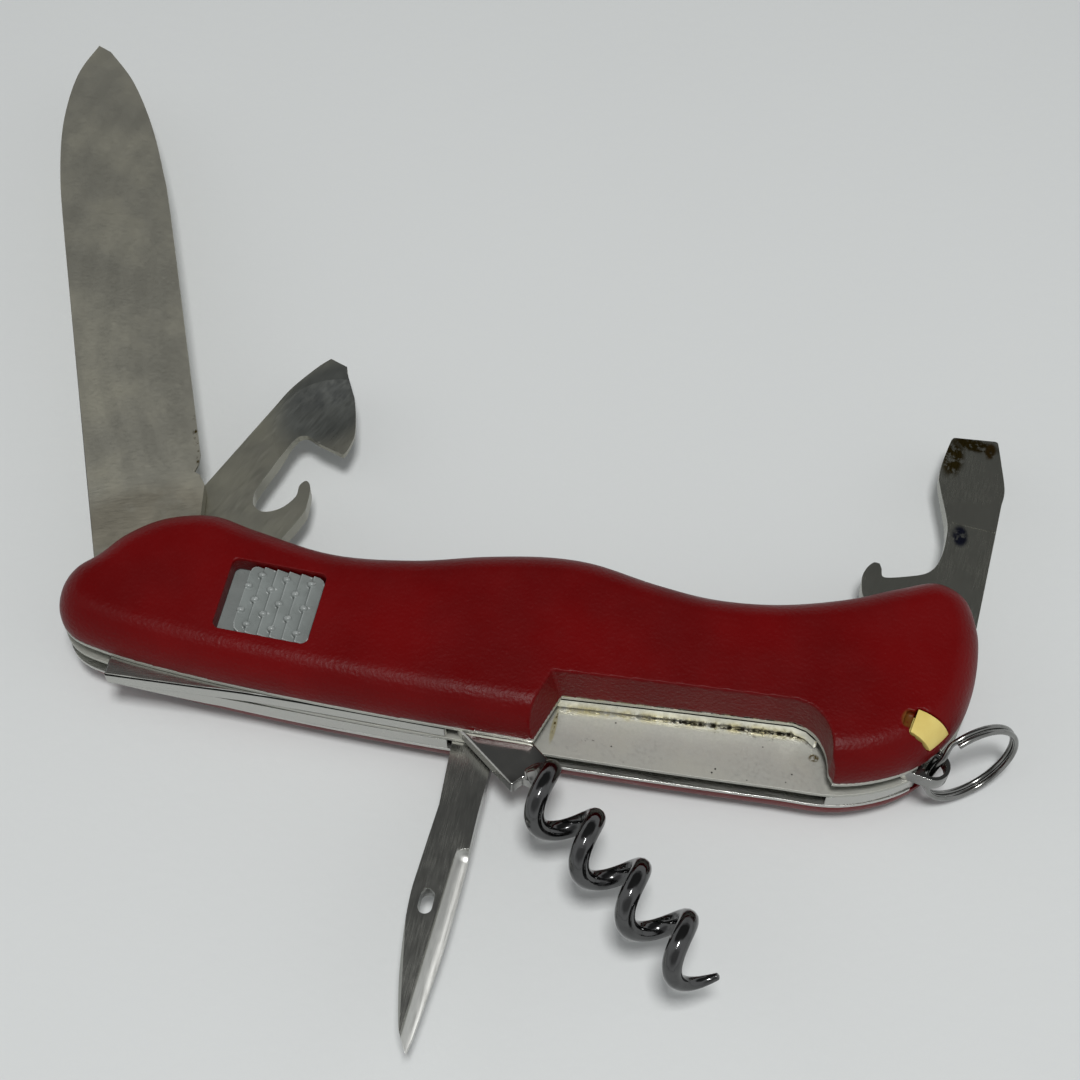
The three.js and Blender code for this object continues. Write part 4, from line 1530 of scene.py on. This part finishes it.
@dataclass
class MainBlade(FoldingTool):
    """The large blade: a long taper from spine to edge, and a plain part at its foot."""

    node: str = "main_blade"
    joint: str = "blade_fold"
    angle: float = 113
    length: float = 94.97
    width: float = 14.75
    spine: float = 6.1
    ricasso: float = 17.3
    edge_thickness: float = 0.4
    nick_place: Point = (68, 3.6)
    nick_size: tuple[float, float, float] = (13, 1.3, 0.6)
    nick_depth: float = 0.6
    eased: float = 0.1

    def outline(self) -> list[Point]:
        """The blade's plan, along +X from its pivot.

        Returns:
            The outline.
        """
        edge = self.spine - self.width
        return outline(
            arc((0, 0), self.spine, 270, 90, FOOT_STEPS),
            [(59, self.spine), (70, 5.9), (80.3, 4.75), (89.3, 2.1), (self.length, -1.5)],
            [(93.4, -3.1), (87, -5.8), (78.3, -7.6), (69.2, -8.4), (60, edge), (20, edge + 0.1)],
            [(18.6, edge + 0.5), (17.2, -7.3)],
            [(16.3, -8.2), (14.7, edge)],
            [(8, -7.2), (2, -6.2)])

    def build(self) -> Body:
        """Builds and dresses the blade.

        Returns:
            The piece.
        """
        low, high = heights(self.node)
        thickness = high - low
        body = plate("main_blade_leaf", self.plan(self.outline()), low, high)
        tilt = math.degrees(math.atan((thickness - self.edge_thickness) / 2 / self.width))
        size = Vector((self.length, 60, 6))
        cutters = [self.pin_cutter()]
        for side, face in ((1, high), (-1, low)):
            middle = Vector((self.ricasso + self.length / 2, self.spine, face + side * size.z / 2))
            corner = Vector((self.ricasso, self.spine, face))
            cutters.append(self.tilted("grind_cutter", middle, size, "X", side * tilt, corner))
        nick = moved(rounded((0, 0), *self.nick_size), self.plan([self.nick_place])[0], self.angle)
        cutters.append(plate("nick_cutter", nick, low - OVERCUT, low + self.nick_depth))
        combine(body, cutters)
        ease_edges(body, self.eased, segments=2, angle=25)
        return place_piece(body, self.node, "blade", FINISHES.blade)


@dataclass
class CanOpener(FoldingTool):
    """The can opener, with its hooked cutting head and a small finger hook below it."""

    node: str = "can_opener"
    joint: str = "can_opener_fold"
    angle: float = 68.4
    hollow: Point = (34, -3.5)
    hollow_radius: float = 8.4
    hollow_depths: tuple[float, float] = (0.55, 1.2)
    eased: float = 0.16

    def outline(self) -> list[Point]:
        """The opener's plan, along +X from its pivot.

        Returns:
            The outline.
        """
        return outline(
            arc((0, 0), 5.6, 270, 90, FOOT_STEPS),
            [(33, 5.65), (36.4, 5.6), (40.9, 4.8), (43.1, 4.1)],
            [(43.2, 1.5), (42.4, 0.9)],
            [(39.8, -2.2), (37.6, -4), (35, -5.7), (32.6, -6.3), (31.7, -6.2)],
            [(31.4, -2.6), (31.5, -0.6), (30.7, 0.3)],
            [(29.3, 0.4), (22, -0.2), (20, -0.6), (18.8, -1.6), (18.8, -3.2), (20.5, -4.7),
             (22.9, -5.2), (24.5, -4.6), (25.6, -4.9), (25.1, -5.9), (22.9, -7.1), (20.9, -7.6),
             (15, -7.4), (7, -6.2), (2, -5.7)])

    def build(self) -> Body:
        """Builds and dresses the can opener.

        Returns:
            The piece.
        """
        low, high = heights(self.node)
        body = plate("can_opener_leaf", self.plan(self.outline()), low, high)
        front, rear = self.hollow_depths
        combine(body, [self.pin_cutter(),
                       self.dish_cutter(self.hollow, self.hollow_radius, high, front),
                       self.dish_cutter(self.hollow, self.hollow_radius, low, -rear)])
        ease_edges(body, self.eased, segments=3, angle=30)
        return place_piece(body, self.node, "can_opener", FINISHES.can)


@dataclass
class BottleOpener(FoldingTool):
    """The cap lifter, with a screwdriver tip thinned on both faces."""

    node: str = "bottle_opener"
    joint: str = "bottle_opener_fold"
    angle: float = 85.3
    tip_thickness: float = 0.85
    thin_from: float = 21.5
    thin_to: float = 35
    nick_place: Point = (17, -1.9)
    nick_size: tuple[float, float, float] = (5.6, 1.3, 0.6)
    nick_depth: float = 0.5
    eased: float = 0.16

    def outline(self) -> list[Point]:
        """The opener's plan, along +X from its pivot.

        Returns:
            The outline.
        """
        return outline(
            arc((0, 0), 5.6, 90, 268, FOOT_STEPS),
            [(26, -5.4), (28.6, -5.4), (32.7, -4.3), (35.65, -3.43)],
            [(35.95, -3.3), (36.05, -3), (36.0, -2.6)],
            [(35.15, 2.1), (35.0, 2.45), (34.6, 2.65)],
            [(34.6, 2.65), (32.9, 2.9), (29.8, 3.2), (27.7, 3.1)],
            [(25.4, 2.3), (21.2, 0.8), (18.5, 0.5), (16.1, 0.6), (14.3, 1.1), (13, 2.2),
             (11.9, 4.5), (11.2, 6.4), (11.2, 7.2), (12.2, 7.5)],
            [(12.9, 7.9), (12.8, 8.7), (11.6, 9.4), (10, 9.6), (7.6, 8.9), (6, 7), (4.4, 4.95),
             (2.2, 5.3)])

    def build(self) -> Body:
        """Builds and dresses the bottle opener.

        Returns:
            The piece.
        """
        low, high = heights(self.node)
        body = plate("bottle_opener_leaf", self.plan(self.outline()), low, high)
        drop = (high - low - self.tip_thickness) / 2
        tilt = math.degrees(math.atan(drop / (self.thin_to - self.thin_from)))
        size = Vector((20, 20, 4))
        cutters = [self.pin_cutter()]
        for side, face in ((1, high), (-1, low)):
            centre = Vector((self.thin_from + size.x / 2, 0, face + side * size.z / 2))
            corner = Vector((self.thin_from, 0, face))
            cutters.append(self.tilted("thinning_cutter", centre, size, "Y", side * tilt, corner))
        nick = self.plan(rounded(self.nick_place, *self.nick_size))
        cutters.append(plate("nick_cutter", nick, low - OVERCUT, low + self.nick_depth))
        combine(body, cutters)
        ease_edges(body, self.eased, segments=3, angle=25)
        return place_piece(body, self.node, "bottle_opener", FINISHES.bottle)


@dataclass
class Reamer(FoldingTool):
    """The reamer, with a flute down its front and a sewing eye."""

    node: str = "reamer"
    joint: str = "reamer_fold"
    angle: float = -90
    flute_radius: float = 1.5
    flute_length: float = 30
    flute_start: tuple[float, float, float] = (17, 2.4, 0.45)
    flute_sink: float = 0.9
    flute_lean: float = -2.7
    bevel_start: Point = (25.8, -2.63)
    bevel_tilt: float = 60
    bevel_lean: float = 10.8
    eye_place: Point = (22.8, -0.9)
    eye_size: tuple[float, float, float] = (3.1, 1.7, 0.84)
    eased: float = 0.1

    def outline(self) -> list[Point]:
        """The reamer's plan, along +X from its pivot.

        Returns:
            The outline.
        """
        return outline(
            arc((0, 0), 2.75, 90, 270, FOOT_STEPS),
            [(10.8, -2.25), (18.9, -2.75), (22.4, -2.88), (26.9, -2.57), (31.4, -1.97),
             (35.4, -1.1), (38.1, -0.32), (40.2, 0.87)],
            [(38.5, 1.19), (32.9, 1.74), (26.9, 2.25), (18.9, 2.5), (10.8, 2.5)])

    def flute(self, high: float) -> Body:
        """The round-ended cutter that sinks slowly into the reamer's face.

        Args:
            high: The level of the reamer's face, in millimetres.

        Returns:
            The cutter.
        """
        deselect()
        bpy.ops.mesh.primitive_cylinder_add(
            vertices=48, radius=self.flute_radius * MM, depth=self.flute_length * MM,
            rotation=(0, math.pi / 2, 0), location=(self.flute_length / 2 * MM, 0, 0))
        body = bpy.context.object
        settle(body)
        with editing(body):
            turns = [math.radians(angle) for angle in range(0, 96, 16)]
            for end in (0, self.flute_length * MM):
                pick_faces(body, lambda place, normal: (abs(place.x - end) < ON_PLANE
                                                        and abs(normal.x) > 0.9))
                round_off(self.flute_radius, self.flute_radius, turns)
        x, y, above = self.flute_start
        start = Matrix.Translation(Vector((x, y, high + above)) * MM)
        lean = Matrix.Rotation(math.radians(self.flute_lean), 4, "Z")
        sink = Matrix.Rotation(math.radians(self.flute_sink), 4, "Y")
        return self.at_home(body, start @ lean @ sink)

    def bevel(self, high: float) -> Body:
        """The cutter of the wedge along the reamer's sharp edge.

        Args:
            high: The level of the reamer's face, in millimetres.

        Returns:
            The cutter.
        """
        body = block("bevel_cutter", Vector((7, -2, 2)), Vector((20, 8, 4)))
        start = Matrix.Translation(Vector((*self.bevel_start, high)) * MM)
        lean = Matrix.Rotation(math.radians(self.bevel_lean), 4, "Z")
        tilt = Matrix.Rotation(math.radians(self.bevel_tilt), 4, "X")
        return self.at_home(body, start @ lean @ tilt)

    def build(self) -> Body:
        """Builds and dresses the reamer.

        Returns:
            The piece.
        """
        low, high = heights(self.node)
        body = plate("reamer_leaf", self.plan(self.outline()), low, high)
        hole = self.plan(rounded(self.eye_place, *self.eye_size))
        eye = plate("eye_cutter", hole, low - OVERCUT, high + OVERCUT)
        combine(body, [self.pin_cutter(), eye, self.flute(high), self.bevel(high)])
        ease_edges(body, self.eased, segments=2, angle=28)
        return place_piece(body, self.node, "reamer", FINISHES.reamer)


@dataclass
class Corkscrew(FoldingTool):
    """The worm: one round wire that leaves a flat foot and winds to a point."""

    node: str = "corkscrew"
    joint: str = "corkscrew_fold"
    angle: float = -38.2
    wire_radius: float = 1.2
    helix_radius: float = 2.75
    pitch: float = 7.92
    turns: float = 4.045
    start_turn: float = -0.19
    start_along: float = 10.06
    offset: float = -1.12
    sunk: float = 0.1
    lift: float = 0.25
    taper_turns: float = 0.5
    taper_power: float = 1.6
    tip_share: float = 0.36
    steps_per_turn: int = 60
    eased: float = 0.12
    voxel: float = 0.13

    def foot(self) -> list[Point]:
        """The plan of the flat foot, along +X from its pivot."""
        return outline(arc((0, 0), 2.8, 90, 270, FOOT_STEPS), [(9.6, -2.6), (9.7, -0.9)],
                       [(10.6, -0.6), (11.4, 0.4), (11.3, 2.5), (9.5, 2.85)])

    def worm(self, low: float) -> Body:
        """The wound wire, with its end drawn down to a point.

        Args:
            low: The level of the foot's underside, in millimetres.

        Returns:
            The wire.
        """
        x, y = pivot_of(self.joint)
        place = Matrix.Translation((x, y, 0)) @ Matrix.Rotation(math.radians(self.angle), 4, "Z")
        axis = low - self.sunk + self.lift + self.wire_radius + self.helix_radius
        steps = int(self.steps_per_turn * self.turns)
        path, radii = [], []
        for i in range(steps + 1):
            turn = self.turns * i / steps
            a = 2 * math.pi * (self.start_turn + turn)
            path.append(place @ Vector((self.start_along + self.pitch * turn,
                                        self.offset + self.helix_radius * math.cos(a),
                                        axis + self.helix_radius * math.sin(a))))
            share = max(0, 1 - (self.turns - turn) / self.taper_turns)
            radii.append(self.wire_radius * (1 - (1 - self.tip_share) * share ** self.taper_power))
        return wire("worm_wire", path, radii)

    def build(self) -> Body:
        """Builds and dresses the corkscrew.

        Returns:
            The piece.
        """
        low = heights(self.node)[0]
        high = heights("main_blade")[1]
        body = plate("corkscrew_worm", self.plan(self.foot()), low, high)
        ease_edges(body, self.eased)
        combine(body, [self.pin_cutter()])
        combine(body, [self.worm(low)], "UNION")
        apply(body, "REMESH", mode="VOXEL", voxel_size=self.voxel * MM, use_smooth_shade=True)
        apply(body, "SMOOTH", factor=0.5, iterations=4)
        return place_piece(body, self.node, "corkscrew", FINISHES.chrome)


# ---------------------------------------------------------------- lock, toothpick, tweezers


@dataclass
class SlideLock:
    """The lock's thumb button on its flange, with the plate and spring under it."""

    head: Point = (-28.0, -2.65)
    head_length: float = 9.2
    head_width: float = 9.2
    corner: float = 0.9
    ribs: int = 6
    rib_share: float = 0.985
    groove: float = 0.6
    sunk: float = 0.2
    nub_radius: float = 0.4
    nub_rise: float = 0.2
    nub_stretch: float = 1.25
    outer_row: float = 3.45
    inner_row: float = 1.7
    edge_nubs: float = 0.25
    voxel: float = 0.1
    flange_top: float = 14.9
    flange_corner: float = 1
    notch_end: float = -36.4
    notch_length: float = 4
    notch_width: float = 2.3
    notch_depth: float = 2
    plate_edge: float = 0.1

    @property
    def rib(self) -> float:
        """The width of one rib, in millimetres."""
        return self.head_length / self.ribs

    @property
    def left(self) -> float:
        """Where the head's left edge lies along the handle."""
        return self.head[0] - self.head_length / 2

    def button(self) -> Body:
        """The button: ribs with round nubs on their crests, blended like a moulding.

        Returns:
            The piece.
        """
        low, high = heights("lock_button")
        flange = rounded(*footprint("lock_button"), self.flange_corner)
        body = plate("lock_button_moulding", flange, low, self.flange_top)
        crest = high - self.nub_rise
        top = rounded(self.head, self.head_length, self.head_width, self.corner)
        head = plate("lock_button_head", top, self.flange_top - self.sunk, crest)
        combine(head, self.grooves(crest))
        combine(body, [self.spring_notch()])
        combine(body, [head, *self.nubs(high)], "UNION")
        apply(body, "REMESH", mode="VOXEL", voxel_size=self.voxel * MM, use_smooth_shade=True)
        apply(body, "SMOOTH", factor=0.5, iterations=1)
        return place_piece(body, "lock_button", "lock", FINISHES.grey)

    def spring_notch(self) -> Body:
        """A cutter for the notch that takes the return spring as the lock slides.

        Returns:
            The cutter.
        """
        middle = Vector((self.notch_end - self.notch_length / 2, self.head[1], self.flange_top))
        size = Vector((self.notch_length, self.notch_width, 2 * self.notch_depth))
        return block("notch_cutter", middle, size)

    def grooves(self, top: float) -> list[Body]:
        """Cutters that make the saw-toothed ribs, each high at its left edge.

        Args:
            top: The level of the ribs' crests, in millimetres.

        Returns:
            The cutters.
        """
        tilt = math.degrees(math.atan(self.groove / self.rib))
        size = Vector((self.rib * self.rib_share, self.head_width + 2 * OVERCUT, 2 * OVERCUT))
        cutters = []
        for i in range(self.ribs):
            corner = Vector((self.left + self.rib * i, self.head[1], top))
            centre = corner + Vector((self.rib / 2, 0, size.z / 2))
            cutters.append(block("rib_cutter", centre, size, {"Y": tilt}, corner))
        return cutters

    def nubs(self, high: float) -> list[Body]:
        """The long round nubs, in staggered rows.

        Args:
            high: The level of their tops, in millimetres.

        Returns:
            The nubs.
        """
        odd, even = (self.outer_row, 0, -self.outer_row), (self.inner_row, -self.inner_row)
        spots = [(self.left + self.rib * k, self.head[1] + y) for k in (1, 3, 5) for y in odd]
        spots += [(self.left + self.rib * k, self.head[1] + y) for k in (2, 4) for y in even]
        spots += [(self.left + self.edge_nubs, self.head[1] + y) for y in even]
        made = []
        for x, y in spots:
            deselect()
            bpy.ops.mesh.primitive_uv_sphere_add(segments=16, ring_count=10,
                                                 radius=self.nub_radius * MM)
            nub = bpy.context.object
            nub.scale = (self.nub_stretch, 1, 1)
            nub.location = (x * MM, y * MM, (high - self.nub_radius) * MM)
            settle(nub)
            made.append(nub)
        return made

    def build(self) -> list[Body]:
        """Builds and dresses the button and the plate.

        Returns:
            The pieces.
        """
        under = traced("lock_plate", "lock_plate_bar")
        ease_edges(under, self.plate_edge)
        return [self.button(), place_piece(under, "lock_plate", "lock", FINISHES.bright)]


@dataclass
class PocketAids:
    """The toothpick in the front scale and the tweezers in the rear one."""

    handle: Handle
    pick_width: float = 2.9
    pick_blade: tuple[float, float, float] = (46, 2.2, 1.3)
    pick_lift: float = 0.3
    head_edge: float = 0.16
    leaf_edge: float = 0.06

    def toothpick(self) -> Body:
        """The toothpick: a head shaped like the scale's rim on a long flat pick.

        Returns:
            The piece.
        """
        low, high = heights("toothpick")
        body = self.handle.blank("toothpick_moulding", "front_scale", 1)
        head = self.handle.pick_block("pick_head", 0, 12, self.pick_width, low, high + OVERCUT)
        combine(body, [head], "INTERSECT")
        ease_edges(body, self.head_edge, segments=3, angle=30)
        length, width, thickness = self.pick_blade
        under = low + self.pick_lift
        pick = self.handle.pick_block("pick_blade", -length, 0.5, width, under, under + thickness)
        combine(body, [pick], "UNION")
        smooth(body)
        return place_piece(body, "toothpick", "toothpick", FINISHES.ivory)

    def tweezers(self) -> list[Body]:
        """The tweezers: a grey head and two sprung leaves.

        Returns:
            The pieces.
        """
        head = traced("tweezer_head", "tweezers_grip")
        ease_edges(head, self.head_edge, segments=3, angle=30)
        pieces = [place_piece(head, "tweezer_head", "tweezers", FINISHES.grey)]
        for node in ("tweezer_leaf_rear", "tweezer_leaf_front"):
            leaf = traced(node, node + "_strip")
            ease_edges(leaf, self.leaf_edge)
            pieces.append(place_piece(leaf, node, "tweezers", FINISHES.bright))
        return pieces

    def build(self) -> list[Body]:
        """Builds and dresses the toothpick and the tweezers."""
        return [self.toothpick(), *self.tweezers()]


# ---------------------------------------------------------------- key ring


@dataclass
class RingAndShackle:
    """The split ring and the eyed plate that it hangs from."""

    radius: float = 6.05
    wire_radius: float = 0.34
    pitch: float = 0.75
    turns: float = 1.92
    jog: float = 0.06
    jog_angle: float = -28
    seat: float = -0.15
    axis: tuple[float, float, float] = (0.578, -0.802, 0.153)
    fall: tuple[float, float, float] = (-0.777, -0.481, 0.411)
    steps: int = 260
    shackle_edge: float = 0.3

    def path(self) -> list[Vector]:
        """The ring's wire: two flat coils, one crossing to the other in a short jog.

        Returns:
            The points of its middle line, in millimetres.
        """
        normal = Vector(self.axis).normalized()
        fall = Vector(self.fall)
        fall = (fall - normal * fall.dot(normal)).normalized()
        across = normal.cross(fall)
        low, high = heights("key_ring_shackle")
        eye = Vector((*pivot_of("ring_swing"), (low + high) / 2))
        centre = eye - fall * self.radius + normal * self.seat
        path = []
        for i in range(self.steps + 1):
            turn = self.turns * (i / self.steps - 0.5)
            a = 2 * math.pi * turn + math.radians(self.jog_angle)
            t = held(turn / self.jog + 0.5)
            crossed = t * t * (3 - 2 * t)
            path.append(centre + fall * self.radius * math.cos(a)
                        + across * self.radius * math.sin(a)
                        + normal * self.pitch * (crossed - 0.5))
        return path

    def build(self) -> list[Body]:
        """Builds and dresses the ring and its shackle.

        Returns:
            The pieces.
        """
        path = self.path()
        ring = wire("key_ring_coil", path, [self.wire_radius] * len(path), sides=20)
        smooth(ring, 50)
        plate_body = traced("key_ring_shackle", "key_ring_shackle_plate")
        ease_edges(plate_body, self.shackle_edge, segments=4, angle=30)
        return [place_piece(ring, "key_ring", "key_ring", FINISHES.nickel),
                place_piece(plate_body, "key_ring_shackle", "handle", FINISHES.nickel)]


# ---------------------------------------------------------------- carried-over nodes


@dataclass
class Hardware:
    """Rivets, bushings and the lock's return spring: CAD nodes that keep their own shape."""

    bevel: float = 0.12
    sharp: float = 40

    def build(self) -> list[Body]:
        """Dresses the carried-over nodes.

        Returns:
            The pieces.
        """
        turned = [name for name in frame["nodes"] if name.endswith(("_rivet", "_bushing"))]
        for name in turned:
            self.dress(name, FINISHES.brass, self.bevel)
        self.dress("lock_return_spring", FINISHES.bright, 0)
        return [frame["nodes"][name] for name in [*turned, "lock_return_spring"]]

    def dress(self, name: str, finish: Finish, bevel: float) -> None:
        """Gives a CAD node its finish and eases its edges by live modifiers.

        Args:
            name: The CAD node's name.
            finish: The finish that it gets.
            bevel: The width of its eased edges, in millimetres; 0 for none.
        """
        node = frame["nodes"][name]
        node.data.materials.clear()
        node.data.materials.append(finish.material())
        node.data.polygons.foreach_set("use_smooth", [True] * len(node.data.polygons))
        weld = node.modifiers.new("Weld", "WELD")
        weld.merge_threshold = CAD_DOUBLES
        if bevel:
            ease = node.modifiers.new("Bevel", "BEVEL")
            ease.width = bevel * MM
            ease.segments = 2
            ease.limit_method = "ANGLE"
            ease.angle_limit = math.radians(self.sharp)
        node.modifiers.new("Weighted Normal", "WEIGHTED_NORMAL").keep_sharp = True


# ---------------------------------------------------------------- studio


@dataclass
class Studio:
    """A pale floor, one soft lamp overhead, a room with a dark side, and the camera."""

    floor_colour: Colour = (0.63, 0.645, 0.64)
    floor_size: float = 3.0
    room: float = 0.66
    near_side: float = 0.25
    dark_side: float = 0.085
    dark_middle: tuple[float, float, float] = (-0.08, 0.52, 0.85)
    dark_reach: tuple[float, float] = (0.44, 0.64)
    near_middle: tuple[float, float, float] = (0, -0.74, 0.67)
    near_reach: tuple[float, float] = (0.25, 0.6)
    stretch: tuple[float, float, float] = (0.55, 1, 1)
    room_tint: Colour = (0.97, 0.99, 1.0)
    lamp_place: tuple[float, float, float] = (0.05, -0.15, 0.6)
    lamp_size: float = 0.1
    lamp_power: float = 2.45
    camera_place: tuple[float, float, float] = (0.02708, -0.11086, 0.22720)
    camera_turn: tuple[float, float, float] = (31, 0, 12)
    sensor: float = 36
    focal: float = 36 * 2000 / 1080
    nearest: float = 0.005

    def floor(self) -> None:
        """A plain floor under the object."""
        deselect()
        bpy.ops.mesh.primitive_plane_add(size=self.floor_size)
        floor = bpy.context.object
        floor.name = "floor"
        w = Wiring("pale_floor")
        patchy = w.ramp(w.noise(60), 0.3, 0.7, 0, 0.25)
        w.link(w.mix(patchy, self.floor_colour, dimmed(self.floor_colour, 0.97)), "Base Color")
        w.set(Roughness=0.9, Specular_IOR_Level=0.1)
        w.bump((w.noise(1.6), 0.05))
        floor.data.materials.append(w.material)

    def world(self) -> None:
        """A pale room, dark above the horizon on the far side and dim where the maker stands."""
        world = bpy.data.worlds.new("room")
        world.use_nodes = True
        bpy.context.scene.world = world
        tree = world.node_tree
        background = tree.nodes["Background"]
        far = self.level(tree, self.dark_middle, self.dark_reach, self.dark_side / self.room)
        near = self.level(tree, self.near_middle, self.near_reach, self.near_side / self.room)
        product, whole = (tree.nodes.new("ShaderNodeMath") for _ in range(2))
        product.operation = whole.operation = "MULTIPLY"
        whole.inputs[1].default_value = self.room
        tree.links.new(far, product.inputs[0])
        tree.links.new(near, product.inputs[1])
        tree.links.new(product.outputs[0], whole.inputs[0])
        tree.links.new(whole.outputs[0], background.inputs["Strength"])
        background.inputs["Color"].default_value = (*self.room_tint, 1)

    def level(self, tree: bpy.types.NodeTree, middle: Sequence[float], reach: tuple[float, float],
              low: float) -> Socket:
        """The room's share of light by direction: low round a middle one, and 1 far from it.

        Args:
            tree: The world's nodes.
            middle: The direction, of length 1.
            reach: How far from it the share starts to rise, and where it is whole.
            low: The share at the middle.

        Returns:
            The share.
        """
        source = tree.nodes.new("ShaderNodeTexCoord").outputs["Generated"]
        for way, value in (("SUBTRACT", middle), ("MULTIPLY", self.stretch), ("LENGTH", None)):
            step = tree.nodes.new("ShaderNodeVectorMath")
            step.operation = way
            tree.links.new(source, step.inputs[0])
            if value is not None:
                step.inputs[1].default_value = value
            source = step.outputs["Value" if way == "LENGTH" else "Vector"]
        share = tree.nodes.new("ShaderNodeMapRange")
        share.interpolation_type = "SMOOTHSTEP"
        ends = {"From Min": reach[0], "From Max": reach[1], "To Min": low, "To Max": 1}
        for name, value in ends.items():
            share.inputs[name].default_value = value
        tree.links.new(source, share.inputs["Value"])
        return share.outputs[0]

    def lamp(self) -> None:
        """A square soft lamp overhead, turned towards the object."""
        data = bpy.data.lights.new("overhead", "AREA")
        data.shape = "SQUARE"
        data.size = self.lamp_size
        data.energy = self.lamp_power
        lamp = bpy.data.objects.new("overhead", data)
        lamp.location = self.lamp_place
        lamp.rotation_euler = (-Vector(self.lamp_place)).to_track_quat("-Z", "Y").to_euler()
        bpy.context.scene.collection.objects.link(lamp)

    def camera(self) -> None:
        """The camera."""
        data = bpy.data.cameras.new("camera")
        data.sensor_width = self.sensor
        data.lens = self.focal
        data.clip_start = self.nearest
        camera = bpy.data.objects.new("camera", data)
        camera.location = self.camera_place
        camera.rotation_euler = [math.radians(a) for a in self.camera_turn]
        bpy.context.scene.collection.objects.link(camera)
        bpy.context.scene.camera = camera

    def build(self) -> None:
        """Sets the floor, light and camera."""
        self.floor()
        self.world()
        self.lamp()
        self.camera()
        bpy.context.scene.view_settings.view_transform = "Standard"


def main() -> None:
    """Builds every sub-assembly in order, with a line in the log for each piece."""
    logging.basicConfig(level=logging.INFO, format="%(message)s")
    Studio().build()
    handle = Handle()
    assemblies = [handle, MainBlade(), CanOpener(), BottleOpener(), Corkscrew(), Reamer(),
                  SlideLock(), PocketAids(handle), RingAndShackle(), Hardware()]
    for assembly in assemblies:
        made = assembly.build()
        for piece in made if isinstance(made, list) else [made]:
            faces = len(piece.data.polygons)
            log.info("%s: %s, %d faces", type(assembly).__name__, piece.name, faces)


if __name__ == "__main__":
    main()
